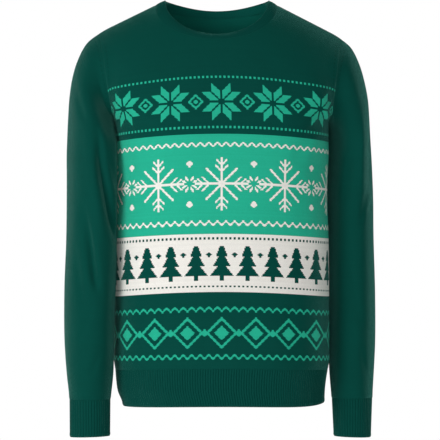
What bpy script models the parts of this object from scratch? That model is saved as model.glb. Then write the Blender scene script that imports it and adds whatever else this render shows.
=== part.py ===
"""Crew-neck Christmas jumper, filled out as if worn, as hollow knitted walls.

Metres, +Z up, the front faces -Y. The origin is midway between the two high points of the
shoulders, where the wearer's shoulders carry the jumper. Right and left are the wearer's:
the right sleeve hangs at -X. Heights are given as drops below the origin.

Every panel is a grid of points on the outer face of the cloth. Neighbouring panels share the
points and the normals of their seam. Each wall is then set back from the seam by half the
seam gap and given its thickness towards the inside.
"""
import math

import bpy
import numpy as np

# ---- Cloth
WALL = 0.0022            # thickness of the jersey
RIB_WALL = 0.0020        # plain inside part of the ribbing
RIB_RAISE = 0.0009       # height of one rib above the plain part
TRIM_WALL = 0.0030       # the neck trim is knitted double
SEAM_GAP = 0.0003        # distance between two pieces at a seam
SMOOTH_ANGLE = math.radians(62)
KEY_STEP = 0.00001       # points nearer than this are the same point of a seam
MITRE_LIMIT = 0.35       # keeps the corner of a set-back edge from running out to a spike

# ---- Body
UNDERARM_DROP = 0.205    # lowest point of the armholes
HEM_SEAM_DROP = 0.6215   # where the ribbing starts, at the middle of the front
HEM_DROP = 0.6855        # lower edge of the ribbing, at the middle of the front
SEAM_DROOP = 0.0060      # how much lower the rows of knitting lie at the side seams
HEM_DROOP = 0.0045
SHOULDER_ROUNDING = 2.2  # exponent of the curve from the chest over to the shoulder seam
EDGE_SOFTNESS = 0.90     # power of the section that meets the armhole at an angle
UNDERARM_EASE = 0.60     # how far up the panel the armhole's bow takes to grow, off its edge
UNDERARM_SPREAD = 0.70   # power of the distance from the edge in that growth

# ---- Neck
NECK_CENTRE = -0.0065    # the neck stands a little towards the right sleeve
NECK_HALF_WIDTH = 0.1045
NECK_DROP = {-1: 0.0650, 1: 0.0190}      # front, back
NECK_POWER = {-1: 2.3, 1: 1.7}
FAN_POWER = 1.5          # how late the shoulder's columns lean in towards the neck
FAN_ONSET = 3            # how near to the high point the neckline's columns do so too
NECK_CROWDING = 1.3      # power that brings points closer towards the high points
RIDGE_IN_NECK = 0.0310                   # height, over the neck, of the arch the panels aim at
TRIM_HALF_WIDTH = 0.0945
TRIM_RISE = 0.0065
TRIM_DROP = {-1: 0.0555, 1: 0.0095}
TRIM_DEPTH = 0.90        # depth of the trim's edge over that of its seam
TRIM_BULGE = 0.0008      # how far the trim's middle line stands above its chord

# ---- Armholes: x and drop of the shoulder tip, x at the underarm
ARMHOLE = {
    -1: {"tip_x": -0.2098, "tip_drop": 0.0499, "underarm_x": -0.1805},
    1: {"tip_x": 0.2112, "tip_drop": 0.0595, "underarm_x": 0.1865},
}
ARMHOLE_DEPTH = {-1: 0.058, 1: 0.055}    # how far it bows to the front and to the back
ARMHOLE_BOW = {-1: 0.0050, 1: 0.0030}    # how far it bows towards the body

# ---- Grid
HALF_COLUMNS = 14        # from the middle of a panel to its side seam
CROWDING = 0.85          # power of a sine that brings the columns closer towards the side seams
NECK_COLUMN = 8          # the column that ends at the high point of the shoulder
ARM_ROWS = 12            # from the underarm to the shoulder
LOW_ROWS = 9             # from the underarm to the ribbing
LOW_CROWDING = 0.65      # share of an S curve that brings these closer together at both ends
HEAD_ROWS = 7            # rings of the sleeve head, which swing from upright to level
SLEEVE_ROWS = 13         # rings of the sleeve below the head

# ---- Ribbing
HEM_RIBS = 112           # on each of the front and the back
CUFF_RIBS = 44
RIB_ROWS = 2
POINTS_PER_STEP = 4      # outer points, two ribs, for each step of the plain inside
CUFF_HEIGHT = 0.0650


def table(columns, *rows):
    """Return one array for each named column."""
    values = np.array(rows, dtype=float)
    return {name: values[:, i] for i, name in enumerate(columns.split())}


def read(source, column, drop):
    """Read a column at a drop, on a cubic curve through the rows."""
    knots = source["drop"]
    values = source[column]
    slopes = np.gradient(values, knots)
    i = int(np.clip(np.searchsorted(knots, drop) - 1, 0, len(knots) - 2))
    width = knots[i + 1] - knots[i]
    t = np.clip((drop - knots[i]) / width, 0.0, 1.0)
    return ((1 + 2 * t) * (1 - t) ** 2 * values[i] + t * (1 - t) ** 2 * width * slopes[i]
            + t * t * (3 - 2 * t) * values[i + 1] + t * t * (t - 1) * width * slopes[i + 1])


# Square is the exponent of the superellipse that the level section follows
BODY = table(
    "drop   centre  half_width  front   back    square",
    (0.000, 0.0030, 0.2100, 0.0930, 0.0850, 3.10),
    (0.065, 0.0030, 0.2000, 0.0985, 0.0980, 3.10),
    (0.130, 0.0030, 0.1900, 0.1120, 0.1110, 3.10),
    (0.205, 0.0030, 0.1835, 0.1220, 0.1170, 3.10),
    (0.260, 0.0030, 0.1835, 0.1250, 0.1150, 2.60),
    (0.320, 0.0028, 0.1815, 0.1245, 0.1100, 2.40),
    (0.400, 0.0030, 0.1835, 0.1225, 0.1065, 2.35),
    (0.500, 0.0030, 0.1845, 0.1215, 0.1085, 2.35),
    (0.585, 0.0028, 0.1850, 0.1215, 0.1130, 2.35),
    (0.608, 0.0028, 0.1848, 0.1205, 0.1135, 2.35),
    (0.6215, 0.0026, 0.1826, 0.1180, 0.1115, 2.35),
    (0.640, 0.0030, 0.1808, 0.1160, 0.1095, 2.35),
    (0.690, 0.0052, 0.1748, 0.1125, 0.1060, 2.35),
)

# Outer and inner are the sleeve's edges seen from the front, as distances from the middle of the
# jumper. Outer_drop and inner_drop are equal where a ring lies level. Mid is the ring's middle
# from front to back, turn the shift of its front towards the body for each metre of depth.
SLEEVE = {
    -1: table(
        "drop   outer   outer_drop inner   inner_drop front   back    mid     turn",
        (0.00, 0.2098, 0.0499, 0.1805, 0.2050, 0.0580, 0.0550, 0.000, 0.00),
        (0.03, 0.2330, 0.0700, 0.1825, 0.2105, 0.0600, 0.0580, -0.002, 0.00),
        (0.06, 0.2478, 0.0985, 0.1828, 0.2160, 0.0620, 0.0600, -0.006, 0.01),
        (0.09, 0.2538, 0.1280, 0.1822, 0.2230, 0.0630, 0.0610, -0.013, 0.03),
        (0.12, 0.2583, 0.1600, 0.1814, 0.2330, 0.0630, 0.0620, -0.021, 0.06),
        (0.15, 0.2605, 0.1930, 0.1803, 0.2450, 0.0630, 0.0620, -0.029, 0.08),
        (0.18, 0.2614, 0.2260, 0.1801, 0.2600, 0.0630, 0.0620, -0.034, 0.09),
        (0.21, 0.2620, 0.2580, 0.1796, 0.2770, 0.0620, 0.0610, -0.038, 0.10),
        (0.25, 0.2622, 0.3000, 0.1779, 0.3000, 0.0610, 0.0600, -0.041, 0.10),
        (0.35, 0.2628, 0.4000, 0.1779, 0.4000, 0.0570, 0.0560, -0.043, 0.10),
        (0.45, 0.2656, 0.5000, 0.1805, 0.5000, 0.0530, 0.0520, -0.043, 0.10),
        (0.54, 0.2656, 0.5900, 0.1822, 0.5900, 0.0490, 0.0480, -0.042, 0.08),
        (0.59, 0.2638, 0.6400, 0.1835, 0.6400, 0.0450, 0.0440, -0.041, 0.04),
        (0.615, 0.2608, 0.6650, 0.1852, 0.6650, 0.0400, 0.0400, -0.040, 0.02),
        (0.626, 0.2585, 0.6760, 0.1864, 0.6760, 0.0350, 0.0350, -0.040, 0.00),
    ),
    1: table(
        "drop   outer   outer_drop inner   inner_drop front   back    mid     turn",
        (0.00, 0.2112, 0.0595, 0.1865, 0.2050, 0.0580, 0.0550, 0.000, 0.00),
        (0.03, 0.2298, 0.0780, 0.1888, 0.2105, 0.0610, 0.0590, 0.003, 0.00),
        (0.06, 0.2426, 0.1040, 0.1900, 0.2160, 0.0640, 0.0620, 0.008, 0.00),
        (0.09, 0.2507, 0.1330, 0.1904, 0.2230, 0.0660, 0.0640, 0.014, -0.02),
        (0.12, 0.2557, 0.1640, 0.1906, 0.2330, 0.0670, 0.0650, 0.020, -0.03),
        (0.15, 0.2592, 0.1960, 0.1900, 0.2450, 0.0670, 0.0650, 0.025, -0.04),
        (0.18, 0.2618, 0.2280, 0.1893, 0.2600, 0.0670, 0.0650, 0.029, -0.05),
        (0.21, 0.2645, 0.2590, 0.1885, 0.2770, 0.0660, 0.0640, 0.032, -0.06),
        (0.25, 0.2656, 0.3000, 0.1868, 0.3000, 0.0640, 0.0630, 0.035, -0.07),
        (0.35, 0.2674, 0.4000, 0.1866, 0.4000, 0.0600, 0.0600, 0.036, -0.08),
        (0.45, 0.2697, 0.5000, 0.1870, 0.5000, 0.0560, 0.0560, 0.034, -0.06),
        (0.54, 0.2688, 0.5900, 0.1876, 0.5900, 0.0520, 0.0510, 0.029, -0.03),
        (0.59, 0.2671, 0.6400, 0.1880, 0.6400, 0.0470, 0.0460, 0.025, 0.00),
        (0.615, 0.2652, 0.6650, 0.1895, 0.6650, 0.0410, 0.0410, 0.022, 0.00),
        (0.628, 0.2638, 0.6780, 0.1915, 0.6780, 0.0350, 0.0350, 0.020, 0.00),
    ),
}
HEAD_END = 0.25          # drop value of the first level ring in both tables

# The cuffs' own outline at their lower edge, and how far it narrows from the seam
CUFF_END = {
    -1: {"outer": 0.2567, "inner": 0.1872, "depth": 0.0275, "mid": -0.041},
    1: {"outer": 0.2627, "inner": 0.1940, "depth": 0.0275, "mid": 0.018},
}
CUFF_TUCK = 0.0020       # the cuff starts this much inside the last ring of the sleeve

# Soft troughs in the sleeves: angle round the ring (0 outside, 90 front, 180 inside, 270 back)
# and height at both ends, depth, and half width in degrees
TROUGHS = {
    -1: (
        {"angle": (85, 150), "drop": (0.195, 0.405), "depth": 0.0060, "spread": 15},
        {"angle": (58, 98), "drop": (0.345, 0.490), "depth": 0.0045, "spread": 13},
        {"angle": (285, 235), "drop": (0.250, 0.440), "depth": 0.0050, "spread": 16},
    ),
    1: (
        {"angle": (60, 110), "drop": (0.190, 0.350), "depth": 0.0030, "spread": 17},
        {"angle": (300, 245), "drop": (0.240, 0.430), "depth": 0.0050, "spread": 16},
        {"angle": (120, 80), "drop": (0.420, 0.560), "depth": 0.0025, "spread": 16},
    ),
}
TROUGH_FADE = 0.045      # length over which a trough fades in and out

COLOURS = {
    "pine_green": (0.0045, 0.053, 0.042),
    "deep_green": (0.0035, 0.047, 0.038),
}


# ---- Points of the body
def body_section(drop, share, face):
    """Point at share -1..1 across a level section: a superellipse of the table's sizes."""
    centre = read(BODY, "centre", drop)
    half_width = read(BODY, "half_width", drop)
    depth = read(BODY, "front" if face < 0 else "back", drop)
    square = read(BODY, "square", drop)
    bulge = max(0.0, 1 - abs(share) ** square) ** (1 / square)
    return centre + share * half_width, face * depth * bulge


def droop(drop, share):
    """How much lower a row of knitting lies towards the side seams."""
    grown = np.clip((drop - UNDERARM_DROP) / (HEM_SEAM_DROP - UNDERARM_DROP), 0.0, 1.0)
    return SEAM_DROOP * grown * share * share


def armhole_point(side, face, rise):
    """Point of the armhole at rise 0 (underarm) to 1 (shoulder tip): half an oval."""
    hole = ARMHOLE[side]
    bow = 2 * math.sqrt(max(0.0, rise * (1 - rise)))
    x = hole["underarm_x"] + rise * (hole["tip_x"] - hole["underarm_x"])
    drop = UNDERARM_DROP + rise * (hole["tip_drop"] - UNDERARM_DROP)
    x -= side * ARMHOLE_BOW[face] * bow * bow
    return np.array((x, face * ARMHOLE_DEPTH[face] * bow, -drop))


def neck_point(side, face, turn):
    """Point of the neckline in front view, turn 0 at the middle to 1 at the high point."""
    even = turn ** (NECK_POWER[face] / 2)
    angle = math.pi / 2 * (1 - (1 - even) ** NECK_CROWDING)
    power = 2 / NECK_POWER[face]
    x = NECK_CENTRE + side * NECK_HALF_WIDTH * math.sin(angle) ** power
    return x, -NECK_DROP[face] * max(0.0, math.cos(angle)) ** power


def column_shares():
    """Shares across a panel, closer together towards the side seams."""
    angles = np.linspace(-1, 1, 2 * HALF_COLUMNS + 1) * math.pi / 2
    return np.sign(angles) * np.abs(np.sin(angles)) ** CROWDING


def ridge_height(x):
    """Height of the line that the front and back curve up to: the shoulder seam, and an arch
    over the neck opening."""
    side = -1 if x < NECK_CENTRE else 1
    away = abs(x - NECK_CENTRE)
    if away < NECK_HALF_WIDTH:
        return RIDGE_IN_NECK * (1 - (away / NECK_HALF_WIDTH) ** 2)
    length = abs(ARMHOLE[side]["tip_x"] - NECK_CENTRE) - NECK_HALF_WIDTH
    return -ARMHOLE[side]["tip_drop"] * (away - NECK_HALF_WIDTH) / length


def top_end(column, face, share):
    """Upper end of a column: on the neckline or on the shoulder seam."""
    side = -1 if column < 0 else 1
    if abs(column) <= NECK_COLUMN:
        return neck_point(side, face, abs(column) / NECK_COLUMN)
    neck_share = column_shares()[HALF_COLUMNS + NECK_COLUMN]
    along = (abs(share) - neck_share) / (1 - neck_share)
    neck_x = NECK_CENTRE + side * NECK_HALF_WIDTH
    x = neck_x + along * (ARMHOLE[side]["tip_x"] - neck_x)
    return x, ridge_height(x)


def upper_point(column, face, share, rise):
    """Point of a panel above the underarm. Its depth depends on where it lies across the panel
    and on its climb, from 0 at the underarm to 1 at the shoulder seam."""
    side = -1 if column < 0 else 1
    if abs(column) == HALF_COLUMNS:
        return armhole_point(side, face, rise)
    centre = read(BODY, "centre", UNDERARM_DROP)
    top_x, top_z = top_end(column, face, share)
    climb = min(1.0, rise * (top_z + UNDERARM_DROP) / (ridge_height(top_x) + UNDERARM_DROP))
    edge_x = armhole_point(side, face, climb)[0]
    shift = top_x - (centre + abs(share) * (ARMHOLE[side]["tip_x"] - centre))
    over = (1 - climb ** SHOULDER_ROUNDING) ** (1 / SHOULDER_ROUNDING)
    fan = (1 - (1 - rise ** SHOULDER_ROUNDING) ** (1 / SHOULDER_ROUNDING)) ** FAN_POWER
    late = min(1.0, abs(column) / NECK_COLUMN) ** FAN_ONSET
    level_x = centre + abs(share) * (armhole_point(side, face, rise)[0] - centre)
    x = level_x + (rise ** 2 * (1 - late) + fan * late) * shift
    z = -UNDERARM_DROP + climb * (ridge_height(x) + UNDERARM_DROP)
    across = min(1.0, abs(x - centre) / abs(edge_x - centre))
    ease = UNDERARM_EASE * (1 - across) ** UNDERARM_SPREAD + 1e-6
    grown = 1 - math.exp(-(climb / ease) ** 2)
    bow = ARMHOLE_DEPTH[face] * 2 * math.sqrt(climb * (1 - climb)) * grown
    square = read(BODY, "square", UNDERARM_DROP)
    soft = climb * climb * (3 - 2 * climb)
    power = 1 / square + (EDGE_SOFTNESS - 1 / square) * soft
    bulge = (1 - across ** square) ** power
    chest = read(BODY, "front" if face < 0 else "back", -z) * over
    return np.array((x, face * (bow + (chest - bow) * bulge), z))


def rises():
    """Rises of the armhole's rows, at equal angles round its oval."""
    return (1 - np.cos(np.linspace(0, math.pi, ARM_ROWS + 1))) / 2


def panel_grid(face):
    """Front or back panel, from the ribbing up to the neckline and the shoulders."""
    shares = column_shares()
    rows = []
    even = np.linspace(0, 1, LOW_ROWS + 1)[:-1]
    up = LOW_CROWDING * even ** 2 * (3 - 2 * even) + (1 - LOW_CROWDING) * even
    for drop in HEM_SEAM_DROP + up * (UNDERARM_DROP - HEM_SEAM_DROP):
        row = []
        for share in shares:
            x, y = body_section(drop, share, face)
            row.append((x, y, -drop - droop(drop, share)))
        rows.append(row)
    for rise in rises():
        rows.append([upper_point(column, face, share, rise)
                     for column, share in enumerate(shares, -HALF_COLUMNS)])
    return np.array(rows)


# ---- Points of the sleeves
def ring_angles():
    """Angles round a sleeve ring: outside, front, inside, back."""
    return np.linspace(0, 2 * math.pi, 2 * ARM_ROWS + 1)[:-1]


def trough_depth(side, angle, drop):
    """Depth of the sleeve's troughs at a place: bell curves across lines that wind down."""
    total = 0.0
    for trough in TROUGHS[side]:
        start, end = trough["drop"]
        along = (drop - start) / (end - start)
        middle = math.radians(trough["angle"][0] + along * (trough["angle"][1] - trough["angle"][0]))
        away = (angle - middle + math.pi) % (2 * math.pi) - math.pi
        spread = math.radians(trough["spread"])
        fade = min(drop - start, end - drop) / TROUGH_FADE + 0.5
        fade = float(np.clip(fade, 0.0, 1.0))
        total += trough["depth"] * math.exp(-(away / spread) ** 2) * fade * fade * (3 - 2 * fade)
    return total


def ring_point(side, drop, angle):
    """Point of a sleeve ring: an oval between the outer and inner edge of the sleeve."""
    sizes = SLEEVE[side]
    outer = np.array((read(sizes, "outer", drop), -read(sizes, "outer_drop", drop)))
    inner = np.array((read(sizes, "inner", drop), -read(sizes, "inner_drop", drop)))
    face = -1 if math.sin(angle) > 0 else 1
    depth = read(sizes, "front" if face < 0 else "back", drop)
    height = (1 + math.cos(angle)) / 2
    edge = inner + (outer - inner) * height
    sag = trough_depth(side, angle, -edge[1])
    lean = -read(sizes, "turn", drop) * math.sin(angle) * depth
    y = read(sizes, "mid", drop) - math.sin(angle) * (depth - sag)
    flatten = sag * math.cos(angle)
    return np.array((side * (edge[0] + lean - flatten), y, edge[1]))


def sleeve_grid(side):
    """Sleeve from the armhole, whose points it shares, down to the cuff."""
    end = SLEEVE[side]["drop"][-1]
    drops = np.concatenate((np.linspace(0, HEAD_END, HEAD_ROWS + 1)[1:],
                            np.linspace(HEAD_END, end, SLEEVE_ROWS + 1)[1:]))
    armhole = []
    for angle in ring_angles():
        face = -1 if math.sin(angle) >= 0 else 1
        armhole.append(armhole_point(side, face, (1 + math.cos(angle)) / 2))
    rings = [[ring_point(side, drop, angle) for angle in ring_angles()] for drop in drops]
    return np.array([armhole] + rings)


# ---- Points of the neck trim
def trim_grid(front, back):
    """Band from the neckline, whose points it shares, inwards and up to its own edge."""
    columns = range(HALF_COLUMNS - NECK_COLUMN, HALF_COLUMNS + NECK_COLUMN + 1)
    seam = [(front[-1][column], -1) for column in columns]
    seam += [(back[-1][column], 1) for column in reversed(columns) if abs(column - HALF_COLUMNS)
             < NECK_COLUMN]
    rows = [[], [], []]
    for point, face in seam:
        side = -1 if point[0] < NECK_CENTRE else 1
        reach = min(1.0, abs(point[0] - NECK_CENTRE) / NECK_HALF_WIDTH)
        sunk = (1 - reach ** NECK_POWER[face]) ** (1 / NECK_POWER[face])
        x = NECK_CENTRE + side * TRIM_HALF_WIDTH * reach
        z = TRIM_RISE - (TRIM_RISE + TRIM_DROP[face]) * sunk
        edge = np.array((x, point[1] * TRIM_DEPTH, z))
        middle = (point + edge) / 2 + np.array((0, 0, TRIM_BULGE))
        rows[0].append(point)
        rows[1].append(middle)
        rows[2].append(edge)
    return np.array(rows)


# ---- From grids to walls
def quads_of(grid, closed):
    """Corner indices of the grid's quads, one row of four for each."""
    count, width = grid.shape[:2]
    last = width if closed else width - 1
    quads = []
    for i in range(count - 1):
        for j in range(last):
            k = (j + 1) % width
            quads.append((i * width + j, i * width + k, (i + 1) * width + k, (i + 1) * width + j))
    return quads


def quad_normal(a, b, c, d):
    normal = np.cross(c - a, d - b)
    length = np.linalg.norm(normal)
    return normal / length if length > 1e-12 else normal


def seam_key(point):
    return tuple(np.round(point / KEY_STEP).astype(int))


def shared_normals(pieces):
    """Sum the quads' normals at every point, weighted by their corner's angle there, over all
    the pieces that share it."""
    sums = {}
    for grid, closed, outward in pieces:
        points = grid.reshape(-1, 3)
        for quad in quads_of(grid, closed):
            corners = [points[i] for i in quad]
            normal = outward * quad_normal(*corners)
            for n in range(4):
                ahead = corners[(n + 1) % 4] - corners[n]
                behind = corners[n - 1] - corners[n]
                angle = math.atan2(np.linalg.norm(np.cross(ahead, behind)), ahead @ behind)
                key = seam_key(corners[n])
                sums[key] = sums.get(key, 0.0) + normal * angle
    return {key: total / np.linalg.norm(total) for key, total in sums.items()}


def edge_loops(grid, closed):
    """Grid places along the edges, anticlockwise as the quads' normals see them."""
    count, width = grid.shape[:2]
    if closed:
        return [[(0, j) for j in range(width)], [(count - 1, j) for j in reversed(range(width))]]
    return [[(0, j) for j in range(width - 1)] + [(i, width - 1) for i in range(count - 1)]
            + [(count - 1, j) for j in range(width - 1, 0, -1)]
            + [(i, 0) for i in range(count - 1, 0, -1)]]


def away_from_edge(grid, closed):
    """Direction in the grid's own surface, at right angles to its edge, for each edge place.
    At a corner it is longer, so that both edges move by the same distance."""
    count, width = grid.shape[:2]
    beside = {}
    for i in range(count - 1):
        for j in range(width if closed else width - 1):
            k = (j + 1) % width
            places = ((i, j), (i, k), (i + 1, k), (i + 1, j))
            normal = quad_normal(*(grid[place] for place in places))
            for n in range(4):
                beside[places[n], places[(n + 1) % 4]] = normal
    directions = {}
    for loop in edge_loops(grid, closed):
        inward = []
        for n in range(len(loop)):
            a, b = loop[n], loop[(n + 1) % len(loop)]
            direction = np.cross(beside[a, b], grid[b] - grid[a])
            inward.append(direction / np.linalg.norm(direction))
        for n in range(len(loop)):
            before, after = inward[n - 1], inward[n]
            mitre = max(MITRE_LIMIT, 1 + float(before @ after))
            directions[loop[n]] = (before + after) / mitre
    return directions


def seam_directions(pieces):
    """Directions that the pieces leave each seam point in, listed by point."""
    found = {}
    for grid, closed, _ in pieces:
        for place, direction in away_from_edge(grid, closed).items():
            found.setdefault(seam_key(grid[place]), []).append(direction)
    return found


def set_back(grid, closed, seams):
    """Move the grid's edges away from the neighbours by half the seam gap."""
    moved = grid.copy()
    for place, direction in away_from_edge(grid, closed).items():
        meeting = seams[seam_key(grid[place])]
        apart = direction - np.mean(meeting, axis=0) if len(meeting) > 1 else direction
        apart *= np.linalg.norm(direction) / np.linalg.norm(apart)
        moved[place] = grid[place] + apart * SEAM_GAP / 2
    return moved


def wall(grid, closed, outward, thickness, level_rows, normals, seams):
    """Closed wall: the grid's outer face, the same face moved inwards, and the rims."""
    count, width = grid.shape[:2]
    offsets = np.array([[normals[seam_key(point)] for point in row] for row in grid])
    for row in level_rows:
        offsets[row][:, 2] = 0.0
        offsets[row] /= np.linalg.norm(offsets[row], axis=1)[:, None]
    outer = set_back(grid, closed, seams)
    inner = outer - offsets * thickness
    size = count * width
    vertices = np.concatenate((outer.reshape(-1, 3), inner.reshape(-1, 3)))
    faces = []
    for quad in quads_of(grid, closed):
        faces.append(quad if outward > 0 else quad[::-1])
        lining = tuple(size + i for i in quad)
        faces.append(lining[::-1] if outward > 0 else lining)
    if closed:
        rims = [[j for j in range(width)] + [0],
                [(count - 1) * width + j for j in reversed(range(width))]
                + [(count - 1) * width + width - 1]]
    else:
        rims = [[j for j in range(width)] + [i * width + width - 1 for i in range(1, count)]
                + [(count - 1) * width + j for j in range(width - 2, -1, -1)]
                + [i * width for i in range(count - 2, -1, -1)]]
    for rim in rims:
        for a, b in zip(rim[:-1], rim[1:]):
            face = (b, a, size + a, size + b)
            faces.append(face if outward > 0 else face[::-1])
    return vertices, faces


# ---- Ribbing
def level_normals(ring, closed):
    """Outward level normals of a ring that runs anticlockwise seen from above."""
    if closed:
        along = np.roll(ring, -1, axis=0) - np.roll(ring, 1, axis=0)
    else:
        along = np.gradient(ring, axis=0)
    normals = np.stack((along[:, 1], -along[:, 0], np.zeros(len(ring))), axis=1)
    return normals / np.linalg.norm(normals, axis=1)[:, None]


def ribbed_wall(rings, closed):
    """Closed wall whose outer face has one raised rib for every two points of the rings."""
    width = len(rings[0])
    steps = (width if closed else width - 1) // POINTS_PER_STEP
    inner_width = steps if closed else steps + 1
    outer_rows = []
    inner_rows = []
    for ring in rings:
        normals = level_normals(ring, closed)
        raised = np.where(np.arange(width) % 2 == 1, 0.0, -RIB_RAISE)[:, None]
        outer_rows.append(ring + normals * raised)
        inner = ring - normals * (RIB_WALL + RIB_RAISE)
        inner_rows.append(inner[::POINTS_PER_STEP])
    vertices = np.concatenate(outer_rows + inner_rows)
    count = len(rings)
    start = count * width
    faces = []
    for i in range(count - 1):
        for j in range(width if closed else width - 1):
            k = (j + 1) % width
            faces.append((i * width + j, i * width + k, (i + 1) * width + k, (i + 1) * width + j))
        for j in range(steps):
            k = (j + 1) % inner_width
            a = start + i * inner_width
            b = a + inner_width
            faces.append((b + j, b + k, a + k, a + j))
    for row, turn in ((0, -1), (count - 1, 1)):
        for j in range(steps):
            k = (j + 1) % inner_width
            a = start + row * inner_width
            edge = [row * width + (j * POINTS_PER_STEP + n) % width for n in range(POINTS_PER_STEP + 1)]
            middle = POINTS_PER_STEP // 2
            fans = [(a + j, edge[n], edge[n + 1]) for n in range(middle)]
            fans.append((a + j, edge[middle], a + k))
            fans += [(a + k, edge[n], edge[n + 1]) for n in range(middle, POINTS_PER_STEP)]
            faces += [fan[::turn] for fan in fans]
    if not closed:
        for j, k, turn in ((0, 0, 1), (width - 1, inner_width - 1, -1)):
            for i in range(count - 1):
                a = start + i * inner_width + k
                face = (i * width + j, (i + 1) * width + j, a + inner_width, a)
                faces.append(face[::turn])
    return vertices, faces


def hem_rings(face):
    """Rings of half the hem ribbing, from its lower edge to its seam."""
    points = HEM_RIBS * 2 + 1
    fine = np.linspace(-1, 1, 8 * points) * math.pi / 2
    fine_shares = np.sign(fine) * np.abs(np.sin(fine)) ** CROWDING
    rings = []
    for step in range(RIB_ROWS + 1):
        up = step / RIB_ROWS
        drop = HEM_DROP + up * (HEM_SEAM_DROP - HEM_DROP)
        sag = HEM_DROOP + up * (SEAM_DROOP - HEM_DROOP)
        outline = np.array([body_section(drop, share, face) for share in fine_shares])
        lengths = np.concatenate(([0], np.cumsum(np.linalg.norm(np.diff(outline, axis=0), axis=1))))
        even = np.linspace(0, lengths[-1], points)
        shares = np.interp(even, lengths, fine_shares)
        x = np.interp(even, lengths, outline[:, 0])
        y = np.interp(even, lengths, outline[:, 1])
        z = -drop - sag * shares ** 2 - SEAM_GAP / 2 * (1 if step == RIB_ROWS else 0)
        ring = np.stack((x, y, z), axis=1)
        ring[0] += (0, face * SEAM_GAP / 2, 0)
        ring[-1] += (0, face * SEAM_GAP / 2, 0)
        rings.append(ring if face < 0 else ring[::-1])
    return rings


def cuff_rings(side):
    """Rings of a cuff, from its lower edge to its seam with the sleeve."""
    sizes = SLEEVE[side]
    seam_drop = sizes["outer_drop"][-1]
    end = CUFF_END[side]
    points = CUFF_RIBS * 2
    angles = np.linspace(0, 2 * math.pi, points + 1)[:-1]
    rings = []
    for step in range(RIB_ROWS + 1):
        up = step / RIB_ROWS
        outer = end["outer"] + up * (sizes["outer"][-1] - CUFF_TUCK - end["outer"])
        inner = end["inner"] + up * (sizes["inner"][-1] + CUFF_TUCK - end["inner"])
        depth = end["depth"] + up * (sizes["front"][-1] - CUFF_TUCK - end["depth"])
        mid = end["mid"] + up * (sizes["mid"][-1] - end["mid"])
        x = side * (outer + inner) / 2 + (outer - inner) / 2 * np.cos(angles)
        y = mid + depth * np.sin(angles)
        z = -seam_drop - (1 - up) * CUFF_HEIGHT - SEAM_GAP / 2 * (1 if step == RIB_ROWS else 0)
        rings.append(np.stack((x, y, np.full(points, z)), axis=1))
    return rings


# ---- Objects
def make_material(name, colour, roughness):
    material = bpy.data.materials.new(name)
    material.use_nodes = True
    shader = material.node_tree.nodes["Principled BSDF"]
    shader.inputs["Base Color"].default_value = (*colour, 1.0)
    shader.inputs["Roughness"].default_value = roughness
    shader.inputs["Metallic"].default_value = 0.0
    return material


def make_object(name, vertices, faces, colour):
    mesh = bpy.data.meshes.new(name)
    mesh.from_pydata([tuple(point) for point in vertices], [], faces)
    mesh.validate()
    mesh.shade_smooth()
    mesh.set_sharp_from_angle(angle=SMOOTH_ANGLE)
    mesh.materials.append(make_material(name + "_knit", COLOURS[colour], 0.9))
    thing = bpy.data.objects.new(name, mesh)
    bpy.context.scene.collection.objects.link(thing)
    return thing


def main():
    for thing in list(bpy.data.objects):
        bpy.data.objects.remove(thing, do_unlink=True)
    front = panel_grid(-1)
    back = panel_grid(1)
    trim = trim_grid(front, back)
    # name: grid, closed round, sign of the quads' normals, thickness, rows with level rims
    panels = {
        "front": (front, False, 1, WALL, (0,)),
        "back": (back, False, -1, WALL, (0,)),
        "sleeve_right": (sleeve_grid(-1), True, -1, WALL, (-1,)),
        "sleeve_left": (sleeve_grid(1), True, 1, WALL, (-1,)),
        "neck_trim": (trim, True, 1, TRIM_WALL, ()),
    }
    normals = shared_normals([piece[:3] for piece in panels.values()])
    seams = seam_directions([piece[:3] for piece in panels.values()])
    for name, piece in panels.items():
        make_object(name, *wall(*piece, normals, seams), "pine_green")
    for name, face in (("hem_rib_front", -1), ("hem_rib_back", 1)):
        make_object(name, *ribbed_wall(hem_rings(face), False), "deep_green")
    for name, side in (("cuff_right", -1), ("cuff_left", 1)):
        make_object(name, *ribbed_wall(cuff_rings(side), True), "deep_green")


main()
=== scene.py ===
"""Crew-neck Christmas jumper in fine jersey, filled out as if worn.

Metres, +Z up, the front faces -Y. Right and left are the wearer's: the right sleeve hangs at
-X. Heights are given as drops below the high points of the shoulders, where the origin is.
Every piece is a thin shell on a fine grid, worked out from the same sizes as its solid, with
creases, seams and ribs added, and with a map of its stitches for the knitted finish.
"""

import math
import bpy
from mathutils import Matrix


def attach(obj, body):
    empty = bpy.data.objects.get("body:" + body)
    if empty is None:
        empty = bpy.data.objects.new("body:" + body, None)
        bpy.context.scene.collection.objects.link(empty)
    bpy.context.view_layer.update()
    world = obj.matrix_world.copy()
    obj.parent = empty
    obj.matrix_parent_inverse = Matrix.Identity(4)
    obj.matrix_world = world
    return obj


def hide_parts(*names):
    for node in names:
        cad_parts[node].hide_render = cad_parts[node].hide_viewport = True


bl_info = {
    "name": "Christmas jumper",
    "version": (1, 0, 0),
    "blender": (4, 5, 0),
    "location": "3D View > Sidebar > Jumper",
    "description": "Knitted crew-neck jumper with bands of colourwork",
    "category": "Object",
}

import bpy
import numpy as np
from mathutils import Vector

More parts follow.
